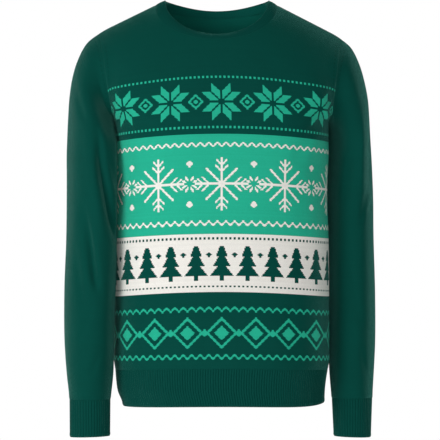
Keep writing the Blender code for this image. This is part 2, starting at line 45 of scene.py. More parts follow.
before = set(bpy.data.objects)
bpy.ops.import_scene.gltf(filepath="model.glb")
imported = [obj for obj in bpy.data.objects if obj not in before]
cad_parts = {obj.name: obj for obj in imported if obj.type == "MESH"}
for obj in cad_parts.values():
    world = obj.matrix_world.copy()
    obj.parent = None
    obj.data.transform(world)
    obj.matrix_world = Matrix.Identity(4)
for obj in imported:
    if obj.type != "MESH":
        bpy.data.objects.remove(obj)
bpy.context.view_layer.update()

# ---- Cloth
UNDERARM = 0.205         # drop of the lowest point of the armholes
HEM_SEAM = 0.6215        # drop of the seam over the hem ribbing, at the middle of the front
HEM = 0.6855             # drop of the ribbing's lower edge
SEAM_GAP = 0.0001
SHARP = math.radians(50)

# ---- Neck and shoulders
NECK_X = -0.0065
NECK_HALF = 0.1045
NECK_DROP = {-1: 0.0650, 1: 0.0190}
NECK_POWER = {-1: 2.1, 1: 1.7}
NECK_CROWDING = 1.3
RIDGE_IN_NECK = 0.0310
HIGH_DROP = 0.0024       # drop of the neckline at the high points of the shoulders
TRIM_X = -0.0055
TRIM_HALF = 0.0885
TRIM_RISE = 0.0064
TRIM_CORNER = 8          # steps each way over which its edge and direction are rounded off
TRIM_DROP = {-1: 0.0555, 1: 0.0078}
TRIM_POWER = {-1: 0.5, 1: 1.2}           # 0.5 is a half oval, 1 a parabola
TRIM_DEPTH = 0.90
TRIM_WALL = 0.0030
TRIM_INSET = 0.0016      # how far over the front's seam the trim's inside starts, clear of it
TRIM_INSET_EASE = 0.030  # depth over which that fades towards the back

# ---- Armholes
TIP_X = {-1: -0.2098, 1: 0.2112}
TIP_DROP = {-1: 0.0507, 1: 0.0604}
UNDERARM_X = {-1: -0.1805, 1: 0.1865}
HOLE_DEPTH = {-1: 0.058, 1: 0.055}
HOLE_BOW = {-1: 0.0050, 1: 0.0030}
ARMHOLE_REACH = 0.024    # how far from the seam the turn from panel to sleeve is rounded off
ARMHOLE_EASE = 0.15      # rise over which that rounding starts
BOW_FADE = 0.036         # distance down the sleeve in which the armhole's bow fades
TANGENT_STEPS = 3        # rows along which the cloth's direction is taken

# ---- Curves of the body
SHOULDER_ROUNDING = 2.2
EDGE_SOFTNESS = 0.90
UNDERARM_EASE = 0.60
UNDERARM_SPREAD = 0.70
FAN_POWER = 1.5
FAN_ONSET = 3
TIP_HOLD = (40, 6)       # powers with which the outer edge is held to the height of the tip
COLUMN_CROWDING = 0.85
CAD_COLUMNS = 14         # columns of the solid's half panel; the eighth ends at the neck
CAD_NECK_COLUMN = 8

# ---- Fine grids
PANEL_COLUMNS = 84       # of half a panel, a multiple of 7
ARM_ROWS = 80
LOW_ROWS = 130
LOW_CROWDING = 1.35      # draws these together towards the hem
SLEEVE_ROWS = 210
SLEEVE_CROWDING = (0.25, 1.6)            # share and power of the crowding near the armhole
HEM_RIBS = 112
HEM_STEPS = 6            # columns of a rib
HEM_SAMPLES = 4001       # points between which the girth of the hem is measured
CUFF_RIBS = 44
CUFF_STEPS = 8
TRIM_RIBS = 140
TRIM_STEPS = 6
TRIM_ROWS = (9, 8, 6)    # up the outside, round the fold and down the inside
# Shares of the ribbing's height, closer together at its lower edge and at its seam
RIB_ROWS = np.concatenate(((0.0, 0.010, 0.022, 0.036, 0.055, 0.080), np.linspace(0.12, 0.94, 12),
                           (0.965, 0.985, 1.0)))

# ---- Ribs, seams and edges
RIB_WALL = 0.0020
RIB_ROUNDING = 0.7
TRIM_RIB_DEPTH = 0.0004
TRIM_GROOVE_START = 4    # the trim's grooves have their full depth a quarter of the way up
TRIM_SWELL = 0.0008
SEAM_WIDTH = 0.0015
SEAM_SWELL = (0.3, 2.6, 1.3)             # share of the depth; place and spread in seam widths
EDGE_TURN = (0.0008, 0.0020)             # how far the ribbing's lower edge turns in, up to where
EDGE_ROLL = (0.0004, 0.0042, 0.0016)     # how far it swells above that, where, and its spread
EDGE_FLAT = (0.35, 0.003)                # how much shallower the grooves are there, and its spread

# ---- Knitted finish
LEG_RISE = 0.55          # how far a stitch's legs rise, in courses
LEG_FALL = 0.8           # how much lower a leg lies at its sides
YARN = (420.0, 3.0)      # scale and detail of the mottling
CLOUDS = (14.0, 2.0)
CLOUD_SHARE = 0.5        # of the mottling's strength
STREAK_SHARE = 0.35
FUZZ = (2600.0, 2.0)
FUZZ_HEIGHT = 0.6        # beside a stitch's own relief
SURFACE = {"Roughness": 0.80, "Specular IOR Level": 0.02, "Sheen Weight": 0.26,
           "Sheen Roughness": 0.22, "Sheen Tint": (0.30, 0.95, 0.80, 1.0)}
# Painted shade in the grooves between ribs: its strength, and how close to each groove it gathers.
RIB_GROOVE_PAINTED_SHADE = 0.14
RIB_GROOVE_PAINTED_SHADE_POWER = 3.0
MARK_INSET = 0.0075      # marks of taken-in stitches, from the armhole
MARK_WIDTH = 0.0011
MARK_EVERY = 6.0         # courses
MARK_SHARE = 0.35        # of that, which a mark takes up
MARK_SHADE = 0.35
NEAR_ARMHOLE = 0.05      # a sleeve's map gives the distance from the armhole up to here
INSIDE_PAINTED_LIGHT = 0.60       # painted light: how much paler the wrong side of the cloth is painted, standing in for light inside the neck

# ---- Colourwork: heights over the seam of the hem ribbing, on the middle line, in metres
CREAM_BAND = (0.1295, 0.2274)
MINT_BAND = (0.2274, 0.3939)
CHEST = {"level": 0.4490, "pitch": 0.0864, "border": 0.0435, "petal": 0.0165,
         "core": (0.0, 0.0045), "ring": (0.0090, 0.0135)}
FLAKES = {"level": 0.3107, "pitch": 0.1080, "border": 0.0660, "reach": 0.0450, "petal": 0.0072,
          "spot": (0.0, 0.0065), "spot_rise": 0.034}
TREES = {"level": 0.1560, "pitch": 0.0432, "borders": (0.1390, 0.2190), "height": 0.0500,
         "spot": (0.0, 0.0050), "spot_rise": 0.036}
HEM_ROW = {"level": 0.0610, "pitch": 0.0576, "border": 0.0400,
           "core": (0.0, 0.0125), "ring": (0.0215, 0.0270), "link": (0.0, 0.0070)}
BACK_ZIGZAGS = (0.2450, 0.3760)
ZIGZAG_PERIOD = 0.0144
LINE = 0.0019            # half the thickness of a zigzag's line, up the cloth
STAR_GAP = 0.0020
FLAKE_ARM = 0.0020       # half the width of a straight arm
FLAKE_SLANT = (1.3, 0.60)                # of slanted arms: width in FLAKE_ARM, share of the reach
FLAKE_BARBS = ((0.42, 0.26), (0.66, 0.20))    # start and span of each pair, shares of the reach
BARB_WIDTH = 1.9         # in FLAKE_ARM
TREE_TIERS = 3.0         # the rest of a tree's sizes are shares of its height
TREE_WIDTH = (0.41, 0.105)               # half the lowest tier, and how much less for each above
TREE_TAPER = 0.66        # how much narrower a tier is at its top
TREE_TRUNK = (0.07, 0.14)                # half the width, and the length

# ---- Stage
MIDDLE_Z = -0.3715
SENSOR = 36.0
FLOOR = -1.30
FLOOR_SIZE = 10.0
FLOOR_SURFACE = {"Base Color": (0.80, 0.80, 0.80, 1.0), "Roughness": 0.9}
WHITE = (1.0, 1.0, 1.0, 1.0)
LIGHTS = (               # name, place, size, and the power that it takes from the stage
    ("key_light", (-2.3, -2.6, 0.4), (1.6, 2.0), "key"),
    ("fill_light", (0.3, -4.3, -0.1), (1.4, 1.4), "fill"),
    ("rim_light_right", (-1.9, 2.3, 0.0), (0.6, 2.6), "rim"),
    ("rim_light_left", (1.95, 1.25, 0.45), (0.5, 2.0), "rim"),
)


# ---- Tables of the shape, by drop
def table(columns, *rows):
    """Return one array for each named column."""
    values = np.array(rows, dtype=float)
    return {name: values[:, i] for i, name in enumerate(columns.split())}


BODY = table(
    "drop   centre  half_width  front   back    square",
    (0.000, 0.0030, 0.2100, 0.0930, 0.0850, 3.10),
    (0.065, 0.0030, 0.2000, 0.0985, 0.0980, 3.10),
    (0.130, 0.0030, 0.1900, 0.1120, 0.1110, 3.10),
    (0.205, 0.0030, 0.1835, 0.1220, 0.1170, 3.10),
    (0.260, 0.0030, 0.1835, 0.1250, 0.1150, 2.60),
    (0.320, 0.0028, 0.1815, 0.1245, 0.1100, 2.40),
    (0.400, 0.0030, 0.1835, 0.1225, 0.1065, 2.35),
    (0.500, 0.0030, 0.1845, 0.1215, 0.1085, 2.35),
    (0.585, 0.0028, 0.1850, 0.1215, 0.1130, 2.35),
    (0.608, 0.0028, 0.1848, 0.1205, 0.1135, 2.35),
    (0.6215, 0.0026, 0.1826, 0.1180, 0.1115, 2.35),
    (0.640, 0.0020, 0.1805, 0.1160, 0.1095, 2.35),
    (0.662, 0.0027, 0.1776, 0.1145, 0.1080, 2.35),
    (0.676, 0.0054, 0.1744, 0.1135, 0.1070, 2.35),
    (0.690, 0.0069, 0.1727, 0.1125, 0.1060, 2.35),
)
HEM_SAG = (0.0045, 0.0060)               # of the lower edge and of the seam, at the sides
HEM_TILT = 0.0063                        # how far the left corner of the hem rides up
HEM_TILT_POWER = 8

# How much lower a row of knitting lies at the side seams: of the cloth, and of its courses
DROOP = table(
    "drop    cloth    course",
    (0.2050, 0.00000, 0.0115),
    (0.2276, 0.00033, 0.0115),
    (0.3941, 0.00272, 0.0084),
    (0.4920, 0.00413, 0.0103),
    (0.6215, 0.00600, 0.0060),
)

CHEST_DROOP = 0.12       # how much lower still for each metre above the underarm

# Outer and inner are the sleeve's edges in front view, as distances from the middle. Mid is the
# ring's middle from front to back, turn the shift of its front towards the body for each metre
# of depth, and swell how far it bulges over the side of the chest.
SLEEVE = {
    -1: table(
        "drop   outer   outer_drop inner   inner_drop front   back    mid     turn  swell",
        (0.00, 0.2098, 0.0507, 0.1805, 0.2050, 0.0580, 0.0550, 0.000, 0.00, 0.0000),
        (0.03, 0.2302, 0.0700, 0.1817, 0.2105, 0.0600, 0.0580, -0.002, 0.00, 0.0045),
        (0.06, 0.2448, 0.0985, 0.1817, 0.2160, 0.0620, 0.0600, -0.006, 0.02, 0.0072),
        (0.09, 0.2532, 0.1280, 0.1815, 0.2230, 0.0630, 0.0610, -0.013, 0.07, 0.0070),
        (0.12, 0.2573, 0.1600, 0.1812, 0.2330, 0.0630, 0.0620, -0.021, 0.14, 0.0064),
        (0.15, 0.2585, 0.1930, 0.1800, 0.2450, 0.0630, 0.0620, -0.029, 0.20, 0.0062),
        (0.18, 0.2594, 0.2260, 0.1797, 0.2600, 0.0630, 0.0620, -0.034, 0.22, 0.0060),
        (0.21, 0.2606, 0.2580, 0.1790, 0.2770, 0.0620, 0.0610, -0.038, 0.20, 0.0058),
        (0.25, 0.2606, 0.3000, 0.1773, 0.3000, 0.0610, 0.0600, -0.041, 0.18, 0.0050),
        (0.35, 0.2616, 0.4000, 0.1760, 0.4000, 0.0570, 0.0560, -0.043, 0.16, 0.0020),
        (0.45, 0.2651, 0.5000, 0.1783, 0.5000, 0.0530, 0.0520, -0.043, 0.16, 0.0000),
        (0.54, 0.2643, 0.5900, 0.1803, 0.5900, 0.0490, 0.0480, -0.042, 0.12, 0.0000),
        (0.59, 0.2606, 0.6400, 0.1822, 0.6400, 0.0450, 0.0440, -0.041, 0.05, 0.0000),
        (0.615, 0.2578, 0.6650, 0.1850, 0.6650, 0.0400, 0.0400, -0.040, 0.02, 0.0000),
        (0.626, 0.2570, 0.6760, 0.1862, 0.6760, 0.0360, 0.0360, -0.040, 0.00, 0.0000),
    ),
    1: table(
        "drop   outer   outer_drop inner   inner_drop front   back    mid     turn  swell",
        (0.00, 0.2112, 0.0604, 0.1865, 0.2050, 0.0580, 0.0550, 0.000, 0.00, 0.0000),
        (0.03, 0.2268, 0.0780, 0.1880, 0.2105, 0.0610, 0.0590, 0.003, -0.06, 0.0000),
        (0.06, 0.2388, 0.1040, 0.1882, 0.2160, 0.0640, 0.0620, 0.008, -0.12, 0.0000),
        (0.09, 0.2464, 0.1330, 0.1880, 0.2230, 0.0660, 0.0640, 0.014, -0.17, 0.0000),
        (0.12, 0.2518, 0.1640, 0.1875, 0.2330, 0.0670, 0.0650, 0.020, -0.20, 0.0000),
        (0.15, 0.2554, 0.1960, 0.1875, 0.2450, 0.0670, 0.0650, 0.025, -0.20, 0.0000),
        (0.18, 0.2582, 0.2280, 0.1875, 0.2600, 0.0670, 0.0650, 0.029, -0.18, 0.0000),
        (0.21, 0.2608, 0.2590, 0.1870, 0.2770, 0.0660, 0.0640, 0.032, -0.15, 0.0000),
        (0.25, 0.2634, 0.3000, 0.1862, 0.3000, 0.0640, 0.0630, 0.035, -0.12, 0.0000),
        (0.35, 0.2652, 0.4000, 0.1860, 0.4000, 0.0600, 0.0600, 0.036, -0.10, 0.0000),
        (0.45, 0.2684, 0.5000, 0.1870, 0.5000, 0.0560, 0.0560, 0.034, -0.06, 0.0000),
        (0.54, 0.2682, 0.5900, 0.1876, 0.5900, 0.0520, 0.0510, 0.029, -0.03, 0.0000),
        (0.59, 0.2656, 0.6400, 0.1895, 0.6400, 0.0470, 0.0460, 0.025, 0.00, 0.0000),
        (0.615, 0.2640, 0.6650, 0.1915, 0.6650, 0.0410, 0.0410, 0.022, 0.00, 0.0000),
        (0.628, 0.2635, 0.6780, 0.1925, 0.6780, 0.0365, 0.0365, 0.020, 0.00, 0.0000),
    ),
}
SWELL_AT = math.radians(145)
SWELL_SPREAD = math.radians(18)
CUFF_END = {
    -1: {"outer": 0.2560, "inner": 0.1872, "depth": 0.0275, "mid": -0.041, "height": 0.0650},
    1: {"outer": 0.2605, "inner": 0.1962, "depth": 0.0275, "mid": 0.018, "height": 0.0680},
}
CUFF_TUCK = 0.0005       # the cuff starts this much inside the last ring of the sleeve
CUFF_TILT = 0.0020       # how much higher the lower edge lies on the inside of the arm

# Creases of the sleeves, as lines that wind down: turn is the angle round the sleeve in degrees
# (0 outside, 90 front, 180 inside, 270 back). Bend is the share of the turning that comes late.
# A depth below 0 is a ridge.
SLEEVE_CREASES = {
    -1: table(
        "turn_top turn_low bend drop_top drop_low depth   spread",
        (86, 164, 0.84, 0.180, 0.430, 0.0110, 11),
        (57, 100, 0.00, 0.330, 0.505, 0.0085, 10),
        (285, 235, 0.30, 0.250, 0.440, 0.0065, 13),
        (64, 116, 0.60, 0.190, 0.420, -0.0025, 12),
        (38, 74, 0.00, 0.400, 0.540, 0.0014, 9),
        (118, 152, 0.00, 0.255, 0.330, 0.0016, 8),
        (96, 60, 0.00, 0.500, 0.585, 0.0014, 8),
        (20, 66, 0.00, 0.120, 0.215, 0.0018, 12),
        (120, 88, 0.00, 0.575, 0.640, 0.0013, 9),
        (310, 262, 0.20, 0.300, 0.420, 0.0026, 9),
        (250, 300, 0.00, 0.430, 0.560, 0.0024, 10),
        (330, 290, 0.00, 0.130, 0.240, 0.0016, 11),
        (240, 212, 0.00, 0.250, 0.345, 0.0018, 9),
        (280, 248, 0.00, 0.560, 0.640, 0.0014, 10),
    ),
    1: table(
        "turn_top turn_low bend drop_top drop_low depth   spread",
        (36, 38, 0.00, 0.155, 0.345, 0.0055, 17),
        (74, 72, 0.00, 0.165, 0.340, -0.0022, 9),
        (92, 118, 0.00, 0.210, 0.350, 0.0030, 12),
        (300, 245, 0.30, 0.240, 0.430, 0.0060, 14),
        (120, 80, 0.00, 0.420, 0.560, 0.0028, 14),
        (40, 84, 0.00, 0.285, 0.390, 0.0016, 9),
        (20, 52, 0.00, 0.325, 0.362, 0.0020, 10),
        (110, 70, 0.00, 0.460, 0.610, -0.0012, 10),
        (84, 52, 0.00, 0.560, 0.640, 0.0014, 9),
        (128, 98, 0.00, 0.235, 0.310, 0.0014, 9),
        (322, 280, 0.20, 0.310, 0.420, 0.0022, 9),
        (262, 306, 0.00, 0.440, 0.560, 0.0024, 10),
        (338, 300, 0.00, 0.130, 0.230, 0.0015, 11),
        (230, 205, 0.00, 0.245, 0.335, 0.0018, 9),
        (282, 250, 0.00, 0.575, 0.645, 0.0013, 10),
    ),
}
CREASE_FADES = (0.50, 0.25)              # shares of a crease's length in which it comes and goes
CREASE_START = 0.02                      # distance down the sleeve in which creases come in

# Creases of the front and back: lines from one place to another, by x and drop
LINE_SWAY = 0.15         # how far such a line bends, for its length
LINE_FADE = 0.4          # share of its length in which it comes and goes
LINE_AT_END = 0.4        # how far it has come at its end
LINE_CLEAR = 0.025       # distance from the seams in which it comes in
PANEL_CREASES = {
    -1: table(
        "x_top   drop_top x_low   drop_low depth   spread",
        (-0.168, 0.198, -0.118, 0.262, 0.0022, 0.011),
        (-0.172, 0.222, -0.140, 0.300, 0.0016, 0.009),
        (-0.150, 0.180, -0.092, 0.214, -0.0012, 0.012),
        (0.172, 0.200, 0.126, 0.268, 0.0020, 0.011),
        (0.176, 0.228, 0.150, 0.310, 0.0014, 0.009),
        (0.158, 0.172, 0.104, 0.204, -0.0010, 0.012),
        (-0.128, 0.480, -0.112, 0.614, 0.0012, 0.013),
        (0.118, 0.500, 0.126, 0.616, 0.0013, 0.014),
        (-0.030, 0.545, -0.022, 0.618, 0.0009, 0.015),
        (0.052, 0.552, 0.046, 0.618, 0.0009, 0.016),
        (-0.100, 0.120, -0.070, 0.075, 0.0008, 0.014),
        (0.092, 0.118, 0.062, 0.078, 0.0008, 0.014),
    ),
    1: table(
        "x_top   drop_top x_low   drop_low depth   spread",
        (-0.170, 0.196, -0.110, 0.290, 0.0026, 0.012),
        (-0.174, 0.226, -0.136, 0.345, 0.0018, 0.010),
        (0.174, 0.198, 0.118, 0.300, 0.0025, 0.012),
        (0.176, 0.232, 0.146, 0.355, 0.0017, 0.010),
        (-0.120, 0.395, -0.030, 0.452, 0.0022, 0.015),
        (0.128, 0.410, 0.042, 0.470, 0.0020, 0.016),
        (-0.090, 0.360, 0.020, 0.392, 0.0014, 0.014),
        (-0.116, 0.500, -0.104, 0.616, 0.0016, 0.015),
        (0.060, 0.520, 0.070, 0.616, 0.0014, 0.014),
        (-0.012, 0.540, -0.016, 0.616, 0.0012, 0.015),
        (-0.084, 0.110, -0.050, 0.160, 0.0010, 0.015),
        (0.090, 0.112, 0.054, 0.168, 0.0010, 0.015),
    ),
}


# ---- Curves of the jumper
def curve(source, column, drop):
    """Cubic curve through the rows of a table's column, read at an array of drops."""
    knots = source["drop"]
    values = source[column]
    slopes = np.gradient(values, knots)
    i = np.clip(np.searchsorted(knots, drop) - 1, 0, len(knots) - 2)
    width = knots[i + 1] - knots[i]
    t = np.clip((drop - knots[i]) / width, 0.0, 1.0)
    return ((1 + 2 * t) * (1 - t) ** 2 * values[i] + t * (1 - t) ** 2 * width * slopes[i]
            + t * t * (3 - 2 * t) * values[i + 1] + t * t * (t - 1) * width * slopes[i + 1])


def bell(distance, spread):
    """Bell curve: 1 in the middle, falling with the square of distance over spread."""
    return np.exp(-(distance / spread) ** 2)


def ease(amount):
    """S curve from 0 to 1."""
    t = np.clip(amount, 0.0, 1.0)
    return t * t * (3 - 2 * t)


def body_section(drop, share, face):
    """Level section: x runs straight with share, and depth follows a superellipse of it."""
    drop, share = np.broadcast_arrays(drop, share)
    square = curve(BODY, "square", drop)
    depth = curve(BODY, "front" if face < 0 else "back", drop)
    bulge = np.clip(1 - np.abs(share) ** square, 0.0, 1.0) ** (1 / square)
    x = curve(BODY, "centre", drop) + share * curve(BODY, "half_width", drop)
    return x, face * depth * bulge


def armhole(side, face, rise):
    """Half an oval from the underarm, rise 0, to the shoulder tip, rise 1."""
    bow = 2 * np.sqrt(np.clip(rise * (1 - rise), 0.0, None))
    x = UNDERARM_X[side] + rise * (TIP_X[side] - UNDERARM_X[side])
    x = x - side * HOLE_BOW[face] * bow ** 2
    z = -UNDERARM - rise * (TIP_DROP[side] - UNDERARM)
    return np.stack((x, face * HOLE_DEPTH[face] * bow, z), axis=-1)


def ridge_height(x):
    """Height of the shoulder seam over x, and of an arch over the neck opening."""
    away = np.abs(x - NECK_X)
    tip_x = np.where(x < NECK_X, TIP_X[-1], TIP_X[1])
    tip_drop = np.where(x < NECK_X, TIP_DROP[-1], TIP_DROP[1])
    seam = (HIGH_DROP - tip_drop) * (away - NECK_HALF) / (np.abs(tip_x - NECK_X) - NECK_HALF)
    arch = RIDGE_IN_NECK * (1 - (away / NECK_HALF) ** 2)
    return np.where(away < NECK_HALF, arch, seam) - HIGH_DROP


def column_shares(columns):
    """Share of the half width at each column of the solid's grid, 0 to 14."""
    return np.sin(math.pi / 2 * columns / CAD_COLUMNS) ** COLUMN_CROWDING


def neckline(side, face, columns):
    """Superellipse from the middle of the neck, column 0, to the high point, column 8."""
    even = np.clip(columns / CAD_NECK_COLUMN, 0.0, 1.0) ** (NECK_POWER[face] / 2)
    angle = math.pi / 2 * (1 - (1 - even) ** NECK_CROWDING)
    power = 2 / NECK_POWER[face]
    x = NECK_X + side * NECK_HALF * np.sin(angle) ** power
    fall = (NECK_DROP[face] - HIGH_DROP) * np.clip(np.cos(angle), 0.0, 1.0) ** power
    return x, -HIGH_DROP - fall


def upper_half(side, face, columns, rises):
    """Half a panel above the underarm. Columns lean in to the neckline and the shoulder seam.
    Depth is a superellipse across the chest that rolls over to the shoulder seam, with the
    armhole's bow added towards the side."""
    share = column_shares(columns)
    centre = float(curve(BODY, "centre", UNDERARM))
    neck_share = column_shares(np.array(float(CAD_NECK_COLUMN)))
    high_x = NECK_X + side * NECK_HALF
    along = (share - neck_share) / (1 - neck_share)
    shoulder_x = high_x + along * (TIP_X[side] - high_x)
    neck_x, neck_z = neckline(side, face, columns)
    at_neck = columns <= CAD_NECK_COLUMN + 1e-9
    top_x = np.where(at_neck, neck_x, shoulder_x)
    top_z = np.where(at_neck, neck_z, ridge_height(shoulder_x))
    rise = rises[:, None]
    climb = np.minimum(1.0, rise * (top_z + UNDERARM) / (ridge_height(top_x) + UNDERARM))
    shift = top_x - (centre + share * (TIP_X[side] - centre))
    fan = (1 - (1 - rise ** SHOULDER_ROUNDING) ** (1 / SHOULDER_ROUNDING)) ** FAN_POWER
    late = np.clip(columns / CAD_NECK_COLUMN, 0.0, 1.0) ** FAN_ONSET
    x = centre + share * (armhole(side, face, rise)[..., 0] - centre)
    x = x + (rise ** 2 * (1 - late) + fan * late) * shift
    ridge = ridge_height(x)
    hold = share ** TIP_HOLD[0] * (1 - climb ** TIP_HOLD[1])
    ridge = ridge + hold * (-TIP_DROP[side] - ridge)
    z = -UNDERARM + climb * (ridge + UNDERARM)
    edge_x = armhole(side, face, climb)[..., 0]
    across = np.minimum(1.0, np.abs(x - centre) / np.abs(edge_x - centre))
    growth = UNDERARM_EASE * (1 - across) ** UNDERARM_SPREAD + 1e-6
    bow = HOLE_DEPTH[face] * 2 * np.sqrt(np.clip(climb * (1 - climb), 0.0, None))
    bow = bow * (1 - np.exp(-(climb / growth) ** 2))
    square = float(curve(BODY, "square", UNDERARM))
    power = 1 / square + (EDGE_SOFTNESS - 1 / square) * climb * climb * (3 - 2 * climb)
    bulge = (1 - across ** square) ** power
    over = (1 - climb ** SHOULDER_ROUNDING) ** (1 / SHOULDER_ROUNDING)
    chest = curve(BODY, "front" if face < 0 else "back", -z) * over
    return np.stack((x, face * (bow + (chest - bow) * bulge), z), axis=-1)


def arm_rises():
    """Rises of the rows beside the armhole, at equal angles round its oval."""
    return (1 - np.cos(np.linspace(0, math.pi, ARM_ROWS + 1))) / 2


def panel_points(face):
    """Front or back: level sections up to the underarm, then both upper halves. Returned with
    the share across of each column."""
    steps = np.arange(-PANEL_COLUMNS, PANEL_COLUMNS + 1) / PANEL_COLUMNS * CAD_COLUMNS
    shares = np.sign(steps) * column_shares(np.abs(steps))
    up = (np.arange(LOW_ROWS) / LOW_ROWS)[:, None] ** LOW_CROWDING
    drop = HEM_SEAM + up * (UNDERARM - HEM_SEAM)
    x, y = body_section(drop, shares, face)
    z = np.broadcast_to(-drop, x.shape) - curve(DROOP, "cloth", drop) * shares ** 2
    low = np.stack((x, y, z), axis=-1)
    halves = [upper_half(side, face, np.abs(steps), arm_rises()) for side in (-1, 1)]
    upper = np.concatenate((halves[0][:, :PANEL_COLUMNS], halves[1][:, PANEL_COLUMNS:]), axis=1)
    return np.concatenate((low, upper)), shares


def line_creases(points, lines):
    """Depth at each point of creases that run from one place to another in front view: a bell
    curve across each line, eased in and out along it."""
    total = np.zeros(points.shape[:2])
    for n in range(len(lines["depth"])):
        start = np.array((lines["x_top"][n], -lines["drop_top"][n]))
        run = np.array((lines["x_low"][n], -lines["drop_low"][n])) - start
        length = np.linalg.norm(run)
        away = points[..., (0, 2)] - start
        along = away @ run / length
        beside = (away[..., 0] * run[1] - away[..., 1] * run[0]) / length
        sway = beside + LINE_SWAY * length * (along / length - 0.5) ** 2
        fade = ease(along / (LINE_FADE * length) + LINE_AT_END)
        fade = fade * ease((length - along) / (LINE_FADE * length) + LINE_AT_END)
        total += lines["depth"][n] * bell(sway, lines["spread"][n]) * fade
    return total


def winding_creases(side, angle, drop):
    """Depth of a sleeve's creases: bell curves across lines that wind down, eased at the ends."""
    lines = SLEEVE_CREASES[side]
    total = np.zeros(np.broadcast(angle, drop).shape)
    for n in range(len(lines["depth"])):
        start, end = lines["drop_top"][n], lines["drop_low"][n]
        along = np.clip((drop - start) / (end - start), 0.0, 1.0)
        turned = along + lines["bend"][n] * (along ** 2 - along)
        first, last = lines["turn_top"][n], lines["turn_low"][n]
        middle = np.radians(first + turned * (last - first))
        away = (angle - middle + math.pi) % (2 * math.pi) - math.pi
        inside = ease(along / CREASE_FADES[0]) * ease((1 - along) / CREASE_FADES[1])
        total += lines["depth"][n] * bell(away, math.radians(lines["spread"][n])) * inside
    return total


def sleeve_points(side):
    """Sleeve: ovals between its outer and inner edge, the first of them the armhole itself,
    with a swelling beside the chest and the creases sunk in."""
    angle = np.linspace(0, 2 * math.pi, 2 * ARM_ROWS + 1)[:-1]
    front = np.sin(angle) >= 0
    sizes = SLEEVE[side]
    end = sizes["drop"][-1]
    even = np.linspace(0, 1, SLEEVE_ROWS + 1)
    crowding, power = SLEEVE_CROWDING
    drop = (end * (crowding * even ** power + (1 - crowding) * even))[:, None]
    depth = np.where(front, curve(sizes, "front", drop), curve(sizes, "back", drop))
    height = (1 + np.cos(angle)) / 2
    outer, inner = curve(sizes, "outer", drop), curve(sizes, "inner", drop)
    outer_z, inner_z = -curve(sizes, "outer_drop", drop), -curve(sizes, "inner_drop", drop)
    x = inner + (outer - inner) * height
    z = inner_z + (outer_z - inner_z) * height
    sag = winding_creases(side, angle, -z) * ease(drop / CREASE_START)
    sag = sag - curve(sizes, "swell", drop) * bell(angle - SWELL_AT, SWELL_SPREAD)
    lean = -curve(sizes, "turn", drop) * np.sin(angle) * depth
    bow = np.where(front, HOLE_BOW[-1], HOLE_BOW[1]) * np.sin(angle) ** 2
    bow = bow * (1 - ease(drop / BOW_FADE))
    y = curve(sizes, "mid", drop) - np.sin(angle) * (depth - sag)
    return np.stack((side * (x + lean - sag * np.cos(angle) - bow), y, z), axis=-1)


def first_step(points):
    """Unit direction from the first row of points to where the cloth has run a few millimetres."""
    step = points[TANGENT_STEPS] - points[0]
    return step / np.linalg.norm(step, axis=-1, keepdims=True)


def armhole_turn(side, face):
    """How much the cloth turns from the panel to the sleeve at each row of the armhole, as the
    difference of two unit directions, eased to nothing at the underarm."""
    panel = panel_points(face)[0][LOW_ROWS:]
    across = np.swapaxes(panel[:, ::-1] if side > 0 else panel, 0, 1)
    rings = sleeve_points(side)
    order = ARM_ROWS + face * np.arange(ARM_ROWS + 1)
    out = first_step(rings)[order % (2 * ARM_ROWS)]
    return (out + first_step(across)) * ease(arm_rises() / ARMHOLE_EASE)[:, None]


def round_armholes(points, run, turn):
    """Round the turn at an armhole off to a parabola: each point moves by the turn times the
    square of what is left of the reach, over four reaches."""
    left = np.clip(ARMHOLE_REACH - run, 0.0, None)[..., None]
    return points + turn * left ** 2 / (4 * ARMHOLE_REACH)


def hem_points(face):
    """Half the hem ribbing, before its ribs: level sections at even steps of arc."""
    fine = np.linspace(-1, 1, HEM_SAMPLES) * math.pi / 2
    fine_shares = np.sign(fine) * np.abs(np.sin(fine)) ** COLUMN_CROWDING
    rings = []
    for up in RIB_ROWS:
        drop = HEM + up * (HEM_SEAM - HEM)
        sag = HEM_SAG[0] + up * (HEM_SAG[1] - HEM_SAG[0])
        x, y = body_section(drop, fine_shares, face)
        lengths = np.concatenate(([0], np.cumsum(np.hypot(np.diff(x), np.diff(y)))))
        even = np.linspace(0, lengths[-1], HEM_RIBS * HEM_STEPS + 1)
        shares = np.interp(even, lengths, fine_shares)
        z = -drop - sag * shares ** 2
        z = z + HEM_TILT * (1 - up) * np.maximum(shares, 0.0) ** HEM_TILT_POWER
        across = [np.interp(even, lengths, values) for values in (x, y)]
        rings.append(np.stack((*across, z), axis=-1))
    return np.array(rings)


def cuff_points(side):
    """Cuff, before its ribs: ovals that narrow a little from the sleeve's last ring down."""
    sizes = SLEEVE[side]
    end = CUFF_END[side]
    up = RIB_ROWS[:, None]
    angle = np.linspace(0, 2 * math.pi, CUFF_RIBS * CUFF_STEPS + 1)[:-1]
    outer = end["outer"] + up * (sizes["outer"][-1] - CUFF_TUCK - end["outer"])
    inner = end["inner"] + up * (sizes["inner"][-1] + CUFF_TUCK - end["inner"])
    depth = end["depth"] + up * (sizes["front"][-1] - CUFF_TUCK - end["depth"])
    mid = end["mid"] + up * (sizes["mid"][-1] - end["mid"])
    x = side * (outer + inner) / 2 + (outer - inner) / 2 * np.cos(angle)
    y = mid + depth * np.sin(angle)
    height = end["height"] - CUFF_TILT * (1 - side * np.cos(angle)) / 2
    z = -sizes["outer_drop"][-1] - (1 - up) * height
    return np.stack((x, y, z), axis=-1)


